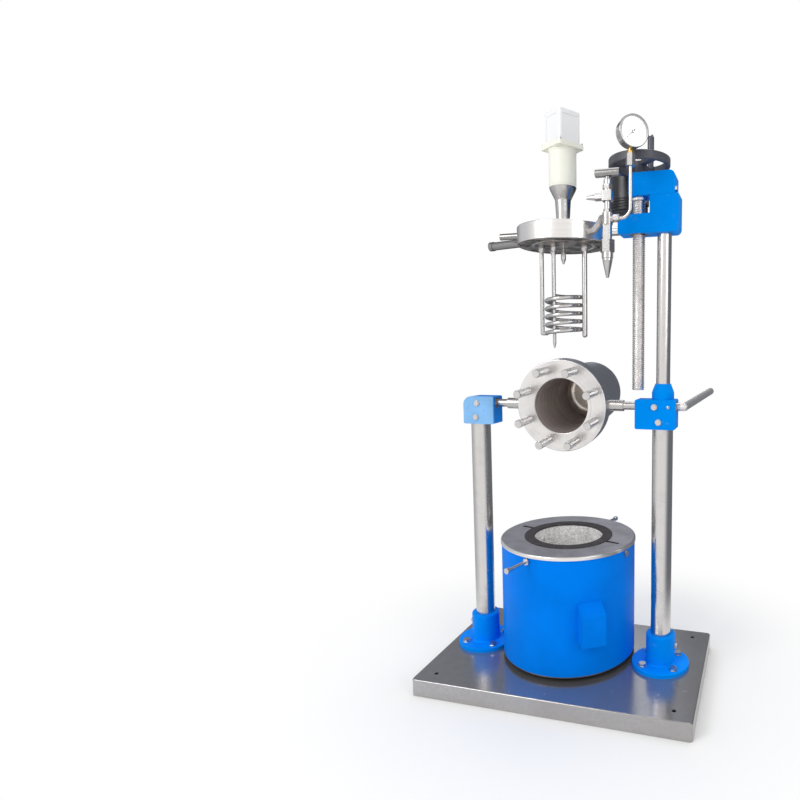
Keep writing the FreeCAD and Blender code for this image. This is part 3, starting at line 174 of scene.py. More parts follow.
class ReactorSizes(bpy.types.PropertyGroup):
    """Sizes of the pieces that are added around the frame."""

    screw_pitch: FloatProperty(
        name="Screw pitch",
        description="Rise of the lead screw's thread in one turn",
        default=0.006,
        unit="LENGTH",
    )
    screw_depth: FloatProperty(
        name="Screw depth",
        description="Depth of the lead screw's thread",
        default=0.0026,
        unit="LENGTH",
    )
    stud_pitch: FloatProperty(
        name="Stud pitch",
        description="Rise of a stud's thread in one turn",
        default=0.003,
        unit="LENGTH",
    )
    stud_depth: FloatProperty(
        name="Stud depth",
        description="Depth of a stud's thread",
        default=0.0013,
        unit="LENGTH",
    )
    heater_pitch: FloatProperty(
        name="Heater pitch",
        description="Distance between two turns of the coiled heating wire",
        default=0.0045,
        unit="LENGTH",
    )
    dial_largest: IntProperty(
        name="Largest number",
        description="Number at the end of the gauge's scale",
        default=25,
    )
    washer_thickness: FloatProperty(
        name="Washer",
        description="Thickness of the washers under the hexagon heads",
        default=0.0018,
        unit="LENGTH",
    )


class ReactorColours(bpy.types.PropertyGroup):
    """Main colours of the reactor."""

    paint: FloatVectorProperty(
        name="Paint",
        description="Blue enamel of the blocks and the furnace",
        default=linear(0, 122, 232),
        subtype="COLOR",
    )
    steel: FloatVectorProperty(
        name="Steel",
        description="Bright steel of columns, lid and tubes",
        default=linear(214, 211, 209),
        subtype="COLOR",
    )
    dark_steel: FloatVectorProperty(
        name="Dark steel",
        description="Darker steel of the vessel's body",
        default=linear(174, 174, 182),
        subtype="COLOR",
    )
    plastic: FloatVectorProperty(
        name="Black plastic",
        description="Hand wheel, crank grip and pointer",
        default=linear(74, 74, 83),
        subtype="COLOR",
    )
    coupling: FloatVectorProperty(
        name="Coupling",
        description="Cream enamel of the coupling housing",
        default=linear(240, 240, 228),
        subtype="COLOR",
    )
    motor: FloatVectorProperty(
        name="Motor",
        description="White enamel of the motor's cover",
        default=linear(236, 237, 238),
        subtype="COLOR",
    )


class Wire:
    """One output socket in a finish. Python's arithmetic on it adds Math nodes."""

    def __init__(self, finish, socket):
        self.finish = finish
        self.socket = socket

    def maths(self, operation, first, second):
        """A Math node with this operation on two values or wires."""
        values = {0: first, 1: second}
        return self.finish.node("ShaderNodeMath", {"operation": operation}, values)

    def __add__(self, other):
        return self.maths("ADD", self, other)

    def __radd__(self, other):
        return self.maths("ADD", other, self)

    def __sub__(self, other):
        return self.maths("SUBTRACT", self, other)

    def __rsub__(self, other):
        return self.maths("SUBTRACT", other, self)

    def __mul__(self, other):
        return self.maths("MULTIPLY", self, other)

    def __rmul__(self, other):
        return self.maths("MULTIPLY", other, self)

    def __pow__(self, other):
        return self.maths("POWER", self, other)

    def span(self, low, high):
        """The value carried smoothly from low..high to 0..1 and held outside."""
        settings = {"interpolation_type": "SMOOTHSTEP"}
        return self.finish.node("ShaderNodeMapRange", settings, {0: self, 1: low, 2: high})


class Finish:
    """A material with one principled shader, or a given node tree, built node by node."""

    def __init__(self, name, tree=None):
        if tree is None:
            self.material = bpy.data.materials.new(name)
            self.material.use_nodes = True
            tree = self.material.node_tree
            self.shader = tree.nodes["Principled BSDF"]
        self.tree = tree

    def node(self, kind, settings=None, values=None, output=0):
        """Add a node, make its settings, then give its sockets values or wires."""
        added = self.tree.nodes.new(kind)
        for key, value in (settings or {}).items():
            setattr(added, key, value)
        for key, value in (values or {}).items():
            self.put(added.inputs[key], value)
        return Wire(self, added.outputs[output])

    def put(self, socket, value):
        """Link a wire to a socket, or set the socket's own value."""
        if isinstance(value, Wire):
            self.tree.links.new(value.socket, socket)
        elif socket.type == "RGBA":
            socket.default_value = (*value[:3], 1.0)
        else:
            socket.default_value = value

    def set(self, **values):
        """Set sockets of the principled shader, with _ for a space in their names."""
        for key, value in values.items():
            self.put(self.shader.inputs[key.replace("_", " ")], value)

    def place(self, centre=(0, 0, 0), turn=(0, 0, 0), scale=(1, 1, 1)):
        """Object coordinates about a centre, turned back by an angle about X, Y or Z."""
        coordinates = self.node("ShaderNodeTexCoord", output="Object")
        settings = {"operation": "SUBTRACT"}
        moved = self.node("ShaderNodeVectorMath", settings, {0: coordinates, 1: centre})
        return self.node("ShaderNodeMapping", {}, {0: moved, 2: turn, 3: scale})

    def parts(self, vector):
        """The three components of a vector."""
        split = self.node("ShaderNodeSeparateXYZ", {}, {0: vector}).socket.node
        return [Wire(self, split.outputs[index]) for index in range(3)]

    def lathe_place(self, centre, turn=(0, 0, 0)):
        """Coordinates that follow a lathe's marks: radius, a slow angle, and height."""
        x, y, z = self.parts(self.place(centre, turn))
        radius = (x * x + y * y) ** 0.5
        angle = self.node("ShaderNodeMath", {"operation": "ARCTAN2"}, {0: y, 1: x})
        values = {0: radius, 1: angle * 0.004, 2: z}
        return self.node("ShaderNodeCombineXYZ", {}, values)

    def noise(self, vector, scale, detail, roughness=0.5):
        """Fractal noise on a vector."""
        values = {"Vector": vector, "Scale": scale, "Detail": detail, "Roughness": roughness}
        return self.node("ShaderNodeTexNoise", {}, values)

    def turned_marks(self, centre, scale, turn=(0, 0, 0)):
        """Fine and broad ring marks that a lathe leaves about a centre."""
        turning = self.lathe_place(centre, turn)
        return self.noise(turning, 1500.0, 2.0), self.noise(turning, scale, 3.0)

    def mix(self, share, first, second):
        """A colour between two, by share."""
        settings = {"data_type": "RGBA"}
        return self.node("ShaderNodeMix", settings, {0: share, 6: first, 7: second}, 2)

    def bump(self, height, strength, distance):
        """Give the shader's Normal a bump from a height."""
        values = {"Strength": strength, "Distance": distance, "Height": height}
        self.set(Normal=self.node("ShaderNodeBump", {}, values))
        return self


def shade(colour, share):
    """A colour made darker or paler by a factor."""
    return tuple(min(1.0, level * share) for level in colour[:3])


def enamel(
    name,
    colour,
    roughness,
    gloss,
    pale,
    mottle=0.04,
    second=None,
    across=(2, 0.55, 0.80),
    tint=(1, 1, 1),
):
    """Sprayed enamel: slow colour change by mottle, orange peel and patches rubbed pale.

    A second tone takes over along an axis, from start to end, as across gives them.
    """
    finish = Finish(name)
    place = finish.place()
    slow = finish.noise(place, 9.0, 3.0)
    fine = finish.noise(place, 420.0, 2.0)
    rubbed = finish.noise(place, 34.0, 5.0, 0.65).span(0.60, 0.76)
    tone = slow.span(0.3, 0.7)
    base = finish.mix(tone, shade(colour, 1.0 - mottle * 2), shade(colour, 1.0 + mottle))
    if second:
        axis, start, end = across
        beyond = finish.parts(place)[axis].span(start, end)
        base = finish.mix(beyond, base, finish.mix(tone, shade(second, 1.0 - mottle * 2), second))
        rubbed = rubbed * beyond
    paler = tuple(level * 0.8 + 0.16 for level in colour[:3])
    finish.set(
        Base_Color=finish.mix(rubbed * pale, base, paler),
        Roughness=roughness + slow * 0.08 + rubbed * 0.14,
        Specular_IOR_Level=gloss,
        Specular_Tint=tint,
    )
    return finish.bump(fine * 0.6 + slow, 0.10, 0.0006).material


def turned_metal(name, colour, centre, roughness=0.22, stain=0.0):
    """Metal from a lathe: ring marks that follow radius and height, with handling smears."""
    finish = Finish(name)
    rings, broad = finish.turned_marks(centre, 160.0)
    dull = finish.noise(finish.place(), 22.0, 4.0, 0.6).span(0.45, 0.75)
    darker = shade(colour, 0.80 - stain * 0.45)
    tone = finish.mix(broad.span(0.3, 0.7), shade(colour, 0.93), colour[:3])
    finish.set(
        Base_Color=finish.mix(dull * (0.35 + stain), tone, darker),
        Metallic=1.0,
        Roughness=roughness + rings * 0.08 + dull * 0.10,
    )
    return finish.bump(rings + broad, 0.12, 0.0004).material


def drawn_metal(name, colour, roughness, axis=2, marks=0.05):
    """Drawn or ground bar and tube: fine lines along one axis and faint smears."""
    finish = Finish(name)
    stretch = [1.0, 1.0, 1.0]
    stretch[axis] = 0.03
    lines = finish.noise(finish.place(scale=tuple(stretch)), 1100.0, 2.0)
    smear = finish.noise(finish.place(), 26.0, 4.0, 0.6).span(0.45, 0.75)
    finish.set(
        Base_Color=finish.mix(smear * 0.3, colour[:3], shade(colour, 0.74)),
        Metallic=1.0,
        Roughness=roughness + lines * 0.07 + smear * 0.10,
    )
    return finish.bump(lines, marks, 0.0003).material


def brushed_sheet(name, colour, roughness, metallic=1.0):
    """Rolled and brushed sheet steel: long scratches, cloudy tone and faint worn patches."""
    finish = Finish(name)
    long_lines = finish.noise(finish.place(scale=(0.02, 1.0, 1.0)), 700.0, 3.0, 0.6)
    cloud = finish.noise(finish.place(), 3.2, 4.0, 0.55).span(0.35, 0.68)
    scuff = finish.noise(finish.place(), 30.0, 5.0, 0.6).span(0.58, 0.76)
    speck = finish.noise(finish.place(), 110.0, 4.0, 0.6).span(0.38, 0.66)
    warm = (colour[0] * 0.90, colour[1] * 0.87, colour[2] * 0.84)
    tone = finish.mix(cloud, colour[:3], warm)
    tone = finish.mix(speck * 0.35, tone, shade(colour, 0.72))
    finish.set(
        Base_Color=finish.mix(scuff * 0.12, tone, shade(colour, 1.2)),
        Metallic=metallic,
        Roughness=roughness + long_lines * 0.06 + scuff * 0.08,
    )
    return finish.bump(long_lines, 0.05, 0.0003).material


def vessel_metal(name, bright, body, bore, floor_glare):
    """The vessel: a bright turned flange with painted shade on its rim, a darker body behind it
    and a stained bore whose floor is painted near white as a highlight.
    """
    finish = Finish(name)
    x, y, z = finish.parts(finish.place(trunnion_axis, vessel_turn))
    radius = (x * x + y * y) ** 0.5
    rings, broad = finish.turned_marks(trunnion_axis, 120.0, vessel_turn)
    smear = finish.noise(finish.place(), 18.0, 4.0, 0.6).span(0.42, 0.75)
    behind = 1 - z.span(flange_back - 0.001, flange_back)
    inside = (1 - radius.span(bore_radius, bore_radius + 0.001)) * z.span(
        vessel_inner_floor - 0.002, vessel_inner_floor
    )
    floor = inside * (1 - z.span(vessel_inner_floor + 0.001, vessel_inner_floor + 0.020))
    tone = finish.mix(broad.span(0.3, 0.7), shade(bright, 0.92), bright[:3])
    tone = finish.mix(behind, tone, body)
    # Painted shade: the flange's rim is darkened towards the body's colour, standing in for the
    # dark that it reflects
    rim = radius.span(flange_radius - 0.0015, flange_radius - 0.0005)
    tone = finish.mix(rim * 0.9, tone, body)
    streaks = finish.mix(broad.span(0.35, 0.65), shade(bore, 0.8), shade(bore, 1.2))
    tone = finish.mix(inside, tone, streaks)
    # Painted highlight: the bore's floor is coloured near white in place of the glare on it
    tone = finish.mix(floor, tone, finish.mix(smear, floor_glare, shade(floor_glare, 0.7)))
    finish.set(
        Base_Color=finish.mix(smear * 0.22, tone, shade(body, 0.8)),
        Metallic=1.0 - (inside - floor) * 0.75,
        Roughness=0.24 + rings * 0.08 + smear * 0.10 + inside * 0.12 - floor * 0.14,
    )
    return finish.bump(rings + broad, 0.10, 0.0004).material


def lid_metal(name, bright, under):
    """The lid: bright turned edge and top, with a dull and browned underside."""
    finish = Finish(name)
    rings, broad = finish.turned_marks(lid_axis, 140.0)
    brown = finish.noise(finish.place(), 26.0, 5.0, 0.6).span(0.40, 0.60)
    height = finish.parts(finish.place())[2]
    below = 1 - height.span(lid_low.z + 0.0002, lid_low.z + 0.0012)
    tone = finish.mix(broad.span(0.3, 0.7), shade(bright, 0.94), bright[:3])
    dull = finish.mix(brown, under[:3], shade(under, 0.28))
    finish.set(
        Base_Color=finish.mix(below, tone, dull),
        Metallic=1.0,
        Roughness=0.20 + rings * 0.08 + below * 0.16,
    )
    return finish.bump(rings + broad, 0.08, 0.0004).material


def cover_metal(name, top, rim, rim_radius, cover_top):
    """The furnace's cover: cloudy brushed top, slots painted dark as shade and a bright turned
    edge.
    """
    finish = Finish(name)
    x, y, z = finish.parts(finish.place((furnace_axis.x, furnace_axis.y, 0.0)))
    radius = (x * x + y * y) ** 0.5
    rings = finish.noise(finish.lathe_place(furnace_axis), 900.0, 3.0)
    cloud = finish.noise(finish.place(), 14.0, 5.0, 0.6).span(0.35, 0.70)
    edge = radius.span(rim_radius - 0.004, rim_radius - 0.001)
    tone = finish.mix(cloud, top[:3], shade(top, 0.78))
    # Painted shade: everything below the top face, inside the edge, is coloured dark grey
    slot = (1 - z.span(cover_top - 0.0015, cover_top - 0.0005)) * (1 - edge)
    tone = finish.mix(slot, tone, linear(60, 58, 58))
    finish.set(
        Base_Color=finish.mix(edge, tone, rim),
        Metallic=1.0,
        Roughness=0.34 + rings * 0.08 + cloud * 0.08 - edge * 0.10,
    )
    return finish.bump(rings, 0.10, 0.0004).material


def moulded(name, colour, roughness=0.42):
    """Moulded plastic with a fine leather-like grain and greasy patches."""
    finish = Finish(name)
    place = finish.place()
    grainy = finish.noise(place, 900.0, 2.0)
    greasy = finish.noise(place, 30.0, 3.0).span(0.4, 0.7)
    finish.set(
        Base_Color=finish.mix(greasy * 0.5, colour[:3], shade(colour, 1.5)),
        Roughness=roughness - greasy * 0.10 + grainy * 0.06,
    )
    return finish.bump(grainy, 0.12, 0.0003).material


def ceramic_fibre(name):
    """Fired ceramic: pale, pitted, cracked and sooty, and painted dark as shade beyond the
    lining's grooves.
    """
    finish = Finish(name)
    centre = (furnace_axis.x, furnace_axis.y, 0.0)
    place = finish.place(centre)
    x, y = finish.parts(place)[:2]
    # Painted shade: everything deeper than the lining's face is coloured near black
    groove_shade = ((x * x + y * y) ** 0.5).span(lining_depth, lining_depth + 0.0035)
    cracks = finish.noise(finish.lathe_place(centre), 240.0, 4.0, 0.6).span(0.58, 0.64)
    pits = finish.noise(place, 150.0, 6.0, 0.7)
    soot = finish.noise(place, 24.0, 5.0, 0.65).span(0.42, 0.70)
    base = finish.mix(pits.span(0.35, 0.6), linear(214, 212, 210), linear(254, 254, 253))
    base = finish.mix(soot * 0.25 + cracks * 0.45, base, linear(120, 114, 110))
    finish.set(
        Base_Color=finish.mix(groove_shade, base, linear(34, 32, 31)),
        Roughness=0.85,
    )
    return finish.bump(pits, 0.55, 0.0016).material


def heating_wire(name):
    """Oxidised heating wire."""
    finish = Finish(name)
    scale = finish.noise(finish.place(), 260.0, 3.0)
    tone = finish.mix(scale.span(0.35, 0.65), linear(92, 84, 78), linear(150, 140, 130))
    finish.set(Base_Color=tone, Metallic=0.8, Roughness=0.45 + scale * 0.2)
    return finish.bump(scale, 0.2, 0.0003).material


def clear_glass(name):
    """The gauge's window: nearly clear, with a faint film."""
    finish = Finish(name)
    smear = finish.noise(finish.place(), 60.0, 3.0)
    finish.set(
        Base_Color=(0.9, 0.95, 1.0),
        Roughness=0.02 + smear * 0.05,
        Alpha=0.05 + smear.span(0.45, 0.75) * 0.05,
    )
    return finish.material


def glowing_dial(name, colour):
    """The dial's white face behind its domed window, given a painted glow so that it looks lit.
    """
    finish = Finish(name)
    speck = finish.noise(finish.place(), 300.0, 2.0)
    finish.set(
        Base_Color=finish.mix(speck * 0.1, colour, shade(colour, 0.9)),
        Roughness=0.6,
        # Painted glow: the face gives off light of its own colour, though it is no lamp
        Emission_Color=finish.mix(speck * 0.1, colour, shade(colour, 0.9)),
        Emission_Strength=1.0,
    )
    return finish.material


def printed(name, colour):
    """Matt ink on the dial."""
    finish = Finish(name)
    speck = finish.noise(finish.place(), 1200.0, 2.0)
    finish.set(
        Base_Color=finish.mix(speck, colour, shade(colour, 1.6)),
        Roughness=0.6,
    )
    return finish.material


def ceramic_collar(name):
    """Dark pressed board of the ring in the furnace's opening."""
    finish = Finish(name)
    place = finish.place()
    fibre = finish.noise(place, 320.0, 5.0, 0.65)
    dust = finish.noise(place, 40.0, 4.0).span(0.5, 0.75)
    base = finish.mix(fibre.span(0.35, 0.65), linear(58, 56, 58), linear(82, 79, 82))
    finish.set(
        Base_Color=finish.mix(dust * 0.3, base, linear(112, 108, 108)),
        Roughness=0.75,
        Specular_IOR_Level=0.10,
    )
    return finish.bump(fibre, 0.4, 0.0008).material


def make_finishes():
    """All the finishes by slot name."""
    colours = bpy.context.scene.reactor_colours
    paint = tuple(colours.paint)
    steel = tuple(colours.steel)
    bright = shade(steel, 1.25)
    dark = tuple(colours.dark_steel)
    black = tuple(colours.plastic)
    blue = (0.1, 0.5, 1.0)
    block_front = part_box("left_clamp_block")[0].y
    cover_low, cover_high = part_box("furnace_cover")
    cover_radius = (cover_high.x - cover_low.x) / 2
    return {
        "blue_paint": enamel(
            "blue_paint", paint, 0.36, 0.05, 0.30, second=linear(0, 136, 234), tint=blue
        ),
        # Left block's paint: the paler second tone across its front is a painted reflection of
        # the white studio
        "glare_paint": enamel(
            "glare_paint",
            linear(0, 134, 240),
            0.30,
            0.10,
            0.40,
            mottle=0.12,
            second=linear(138, 190, 238),
            across=(1, block_front + 0.010, block_front),
            tint=blue,
        ),
        # A paler copy of the blue paint: painted light that lifts the sockets out of the shade
        # they stand in
        "socket_lit_paint": enamel(
            "socket_lit_paint", linear(0, 140, 248), 0.36, 0.05, 0.30, tint=blue
        ),
        "coupling_cream": enamel(
            "coupling_cream", tuple(colours.coupling), 0.30, 0.30, 0.05, mottle=0.015
        ),
        "motor_white": enamel(
            "motor_white", tuple(colours.motor), 0.34, 0.30, 0.05, mottle=0.01
        ),
        "base_steel": brushed_sheet("base_steel", linear(180, 179, 180), 0.18, metallic=0.80),
        "frame_steel": brushed_sheet("frame_steel", linear(120, 118, 118), 0.4),
        "column_steel": drawn_metal("column_steel", steel, 0.18, marks=0.015),
        "screw_steel": turned_metal("screw_steel", bright, screw_axis, roughness=0.34),
        "fastener_steel": turned_metal("fastener_steel", steel, (0, 0, 0), roughness=0.24),
        "bush_bronze": turned_metal("bush_bronze", linear(190, 150, 92), screw_axis),
        "lid_steel": lid_metal("lid_steel", bright, linear(206, 196, 186)),
        "vessel_steel": vessel_metal(
            "vessel_steel", bright, dark, linear(178, 166, 162), linear(254, 246, 234)
        ),
        "tube_steel": drawn_metal("tube_steel", shade(steel, 0.9), 0.17),
        "valve_steel": turned_metal(
            "valve_steel", shade(steel, 0.88), middle_of("valve_body"), roughness=0.16, stain=0.3
        ),
        "black_plastic": moulded("black_plastic", black),
        "grip_plastic": moulded("grip_plastic", shade(black, 1.1), 0.34),
        "housing_plastic": moulded("housing_plastic", linear(30, 30, 35), 0.36),
        "bar_steel": drawn_metal("bar_steel", shade(steel, 0.5), 0.20, axis=0),
        "handle_steel": drawn_metal("handle_steel", bright, 0.42),
        "shaft_steel": drawn_metal("shaft_steel", shade(steel, 0.78), 0.20, axis=0),
        "gauge_chrome": drawn_metal("gauge_chrome", linear(188, 186, 186), 0.08),
        "gauge_brass": drawn_metal("gauge_brass", linear(222, 184, 110), 0.22),
        "dial_white": glowing_dial("dial_white", linear(252, 252, 251)),
        "gauge_glass": clear_glass("gauge_glass"),
        "cover_steel": cover_metal(
            "cover_steel", linear(208, 205, 209), bright, cover_radius, cover_high.z
        ),
        "collar_dark": ceramic_collar("collar_dark"),
        "ceramic": ceramic_fibre("ceramic"),
        "heater_wire": heating_wire("heater_wire"),
    }


# All finishes by name, filled by the first operator
finishes = {}

# Nodes whose finish differs from the one that their slot names
own_finishes = {
    "rear_housing": "housing_plastic",
    "lid_bars": "bar_steel",
    "valve_handle": "bar_steel",
    "left_clamp_block": "glare_paint",
    "trunnion_shafts": "shaft_steel",
    "tilt_handle": "handle_steel",
    "left_socket": "socket_lit_paint",
    "right_socket": "socket_lit_paint",
}


def circle(columns):
    """Angles of the columns round a closed section."""
    return np.linspace(0.0, 2 * np.pi, columns, endpoint=False)


def lathe(profile, columns):
    """(radius, height) points turned about Z: x = r cos a, y = r sin a, z = h."""
    radius, height = np.asarray(profile, float).T[:, :, None]
    angle = circle(columns)[None, :]
    return np.stack([radius * np.cos(angle), radius * np.sin(angle), height + 0 * angle], axis=-1)


def thread(radius, depth, pitch, low, high, columns, per_turn=8):
    """A right-hand thread about Z: r = R - d w(z / p - a / 360), with w a blunt wave.

    The wave fades out towards both ends, which are cut to a short cone.
    """
    rows = int((high - low) / pitch * per_turn) + 1
    height = np.linspace(low, high, rows)[:, None]
    angle = circle(columns)[None, :]
    phase = (height / pitch - angle / (2 * np.pi)) % 1.0
    wave = np.clip((np.abs(phase - 0.5) * 2 - 0.25) * 2, 0.0, 1.0)
    from_end = np.minimum(height - low, high - height)
    fade = np.clip(from_end / thread_tip, 0.0, 1.0)
    cut = radius - depth * wave * fade
    cone = radius - depth * (1 - fade)
    surface_radius = np.minimum(cut, cone)
    return np.stack(
        [surface_radius * np.cos(angle), surface_radius * np.sin(angle), height + 0 * angle],
        axis=-1,
    )


def with_poles(grid):
    """Both end rows closed by a row of equal points in their middle."""
    ends = [np.broadcast_to(grid[row].mean(axis=0), grid[:1].shape) for row in (0, -1)]
    return np.concatenate([ends[0], grid, ends[1]])


def tube(path, outward, radius, columns):
    """A round tube about a path: p + r (n cos b + m sin b), with n outward and m across it."""
    along = np.gradient(path, axis=0)
    along /= np.linalg.norm(along, axis=1, keepdims=True)
    across = np.cross(along, outward)
    across /= np.linalg.norm(across, axis=1, keepdims=True)
    normal = np.cross(across, along)
    angle = circle(columns)[None, :, None]
    ring = normal[:, None] * np.cos(angle) + across[:, None] * np.sin(angle)
    return path[:, None] + radius * ring


def moved(grid, matrix):
    """A grid carried by a 4 x 4 matrix."""
    place = np.array(matrix)
    return grid @ place[:3, :3].T + place[:3, 3]


def around(axis, radius, angle, height):
    """The point at this radius and angle from an upright axis."""
    return Vector((axis.x + radius * math.cos(angle), axis.y + radius * math.sin(angle), height))


def standing_on(point, outward):
    """The matrix that carries Z to an outward direction and the origin to a point."""
    turn = Vector(outward).to_track_quat("Z", "Y").to_matrix().to_4x4()
    return Matrix.Translation(Vector(point)) @ turn


def surface(name, grids, slot, body, replaces=()):
    """One mesh from (rows, columns, 3) grids of points, whose columns close on themselves.

    A row of equal points is a pole, and its points are merged into one.
    """
    points = []
    faces = []
    start = 0
    for grid in grids:
        rows, columns = grid.shape[:2]
        row, column = np.meshgrid(np.arange(rows - 1), np.arange(columns), indexing="ij")
        first = row * columns + column
        second = row * columns + (column + 1) % columns
        corners = np.stack([first, second, second + columns, first + columns], axis=-1)
        faces.append(corners.reshape(-1, 4) + start)
        points.append(grid.reshape(-1, 3))
        start += rows * columns
    mesh = bpy.data.meshes.new(name)
    mesh.from_pydata(np.concatenate(points).tolist(), [], np.concatenate(faces).tolist())
    shape = bmesh.new()
    shape.from_mesh(mesh)
    bmesh.ops.remove_doubles(shape, verts=shape.verts, dist=1e-7)
    bmesh.ops.recalc_face_normals(shape, faces=shape.faces)
    shape.to_mesh(mesh)
    shape.free()
    return add_piece(name, mesh, slot, body, replaces)


def add_piece(name, mesh, slot, body, replaces=()):
    """An object at the origin with its finish, body, slot and the nodes it stands for."""
    mesh.shade_smooth()
    mesh.set_sharp_from_angle(angle=math.radians(sharp_angle))
    mesh.materials.append(finishes[slot])
    piece = bpy.data.objects.new(name, mesh)
    bpy.context.scene.collection.objects.link(piece)
    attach(piece, body)
    if replaces:
        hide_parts(*replaces)
    return piece


class REACTOR_OT_finish_frame(bpy.types.Operator):
    """Give every node of the frame its finish"""

    bl_idname = "reactor.finish_frame"
    bl_label = "Finish the frame"

    def execute(self, context):
        finishes.update(make_finishes())
        for name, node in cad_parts.items():
            for slot in node.material_slots:
                key = own_finishes.get(name, slot.material.name.split(".")[0])
                if key not in finishes:
                    raise RuntimeError(name + " has no finish named " + key)
                slot.material = finishes[key]
        return {"FINISHED"}


class REACTOR_OT_lead_screw(bpy.types.Operator):
    """Make the lead screw with its thread, shoulder and journal"""

    bl_idname = "reactor.lead_screw"
    bl_label = "Lead screw"

    def execute(self, context):
        sizes = context.scene.reactor_sizes
        low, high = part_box("lead_screw")
        head_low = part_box("head_block")[0].z
        collar_radius = (high.x - low.x) / 2
        shoulder = head_low - 0.0003
        collar_low = shoulder - screw_collar_height
        axis = Matrix.Translation((screw_axis.x, screw_axis.y, 0.0))
        depth, pitch = sizes.screw_depth, sizes.screw_pitch
        shaft = thread(screw_radius, depth, pitch, low.z, collar_low, 40)
        collar = lathe(
            [
                (0.0, collar_low),
                (collar_radius - 0.001, collar_low),
                (collar_radius, collar_low + 0.001),
                (collar_radius, shoulder - 0.001),
                (collar_radius - 0.001, shoulder),
                (journal_radius, shoulder),
                (journal_radius, high.z - 0.0015),
                (journal_radius - 0.0015, high.z),
                (0.0, high.z),
            ],
            64,
        )
        grids = [moved(with_poles(shaft), axis), moved(collar, axis)]
        surface("threaded_screw", grids, "screw_steel", "screw_and_wheel", ["lead_screw"])
        return {"FINISHED"}


class REACTOR_OT_studs(bpy.types.Operator):
    """Make the eight threaded studs in the vessel's flange"""

    bl_idname = "reactor.studs"
    bl_label = "Studs"

    def execute(self, context):
        sizes = context.scene.reactor_sizes
        tipped = Matrix.Translation(trunnion_axis) @ Matrix.Rotation(vessel_tilt, 4, "X")
        depth, pitch = sizes.stud_depth, sizes.stud_pitch
        one = thread(stud_radius, depth, pitch, stud_foot, stud_top, 28, 7)
        grids = []
        for index in range(stud_count):
            angle = math.radians(360.0 / stud_count * (index + 0.5))
            seat = Matrix.Translation(around(Vector(), stud_circle, angle, 0.0))
            # Each thread starts at another angle, as it does on real studs
            spin = Matrix.Rotation(index * 1.7, 4, "Z")
            grids.append(moved(with_poles(one), tipped @ seat @ spin))
        surface("threaded_studs", grids, "fastener_steel", "tilting_vessel", ["vessel_studs"])
        return {"FINISHED"}


class REACTOR_OT_heating_wire(bpy.types.Operator):
    """Wind the heating wire into the furnace's grooves"""

    bl_idname = "reactor.heating_wire"
    bl_label = "Heating wire"

    def execute(self, context):
        low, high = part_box("heating_rings")
        big = (high.x - low.x) / 2 - heater_coil_radius - heater_wire_radius
        turns = int(2 * math.pi * big / context.scene.reactor_sizes.heater_pitch)
        first = low.z + heater_ring_half
        step = (high.z - heater_ring_half - first) / (heater_ring_count - 1)
        # A helix bent into a circle: c + R u + r (u cos n a + z sin n a), u = (cos a, sin a, 0)
        angle = np.linspace(0.0, 2 * np.pi, turns * 9 + 1)
        wound = angle * turns
        outward = np.stack([np.cos(angle), np.sin(angle), 0 * angle], axis=-1)
        rise = np.array([0.0, 0.0, 1.0])
        ray = outward * np.cos(wound)[:, None] + rise * np.sin(wound)[:, None]
        grids = []
        for index in range(heater_ring_count):
            centre = Vector((furnace_axis.x, furnace_axis.y, first + step * index))
            path = np.array(centre) + outward * big + ray * heater_coil_radius
            grids.append(with_poles(tube(path, ray, heater_wire_radius, 4)))
        surface("wound_wire", grids, "heater_wire", "stand", ["heating_rings"])
        return {"FINISHED"}


def flat_bar(length, width, height):
    """A thin raised bar along X from the origin: a four-sided section carried along it."""
    section = np.array([(-0.5, 0), (0.5, 0), (0.5, 1), (-0.5, 1)]) * (width, height)
    across = np.array([0.0, length])[:, None]
    grid = np.stack(
        [across + 0 * section[:, 0], section[:, 0] + 0 * across, section[:, 1] + 0 * across],
        axis=-1,
    )
    return with_poles(grid)


def scale_marks(place):
    """The dial's 51 marks, spread evenly over the scale's sweep, and the arc round them."""
    marks = []
    for index in range(51):
        angle = math.radians(scale_start - scale_sweep / 50 * index)
        start, width = short_mark
        if index % 10 == 0:
            start, width = long_mark
        elif index % 5 == 0:
            start, width = middle_mark
        bar = Matrix.Rotation(angle, 4, "Z") @ Matrix.Translation((start, 0, dial_height))
        marks.append(moved(flat_bar(scale_radius - start, width, mark_height), place @ bar))
    arc = np.radians(np.linspace(scale_start, scale_start - scale_sweep, 90))
    outward = np.stack([np.cos(arc), np.sin(arc), 0 * arc], axis=-1)
    path = outward * (scale_radius + 0.0003) + np.array([0.0, 0.0, dial_height])
    marks.append(moved(with_poles(tube(path, outward, mark_height * 1.5, 6)), place))
    return marks


def scale_numbers(place, largest):
    """The six numbers from 0 to the largest, as one mesh."""
    numbers = bmesh.new()
    for index in range(6):
        angle = math.radians(scale_start - scale_sweep / 5 * index)
        words = bpy.data.curves.new("number", "FONT")
        words.body = str(largest // 5 * index)
        words.size = number_size
        words.extrude = mark_height / 2
        words.align_x = "CENTER"
        words.align_y = "CENTER"
        holder = bpy.data.objects.new("number", words)
        mesh = bpy.data.meshes.new_from_object(holder)
        spot = Matrix.Translation(around(Vector(), number_circle, angle, dial_height))
        mesh.transform(place @ spot)
        numbers.from_mesh(mesh)
        bpy.data.objects.remove(holder)
    bmesh.ops.recalc_face_normals(numbers, faces=numbers.faces)
    mesh = bpy.data.meshes.new("dial_numbers")
    numbers.to_mesh(mesh)
    numbers.free()
    return mesh


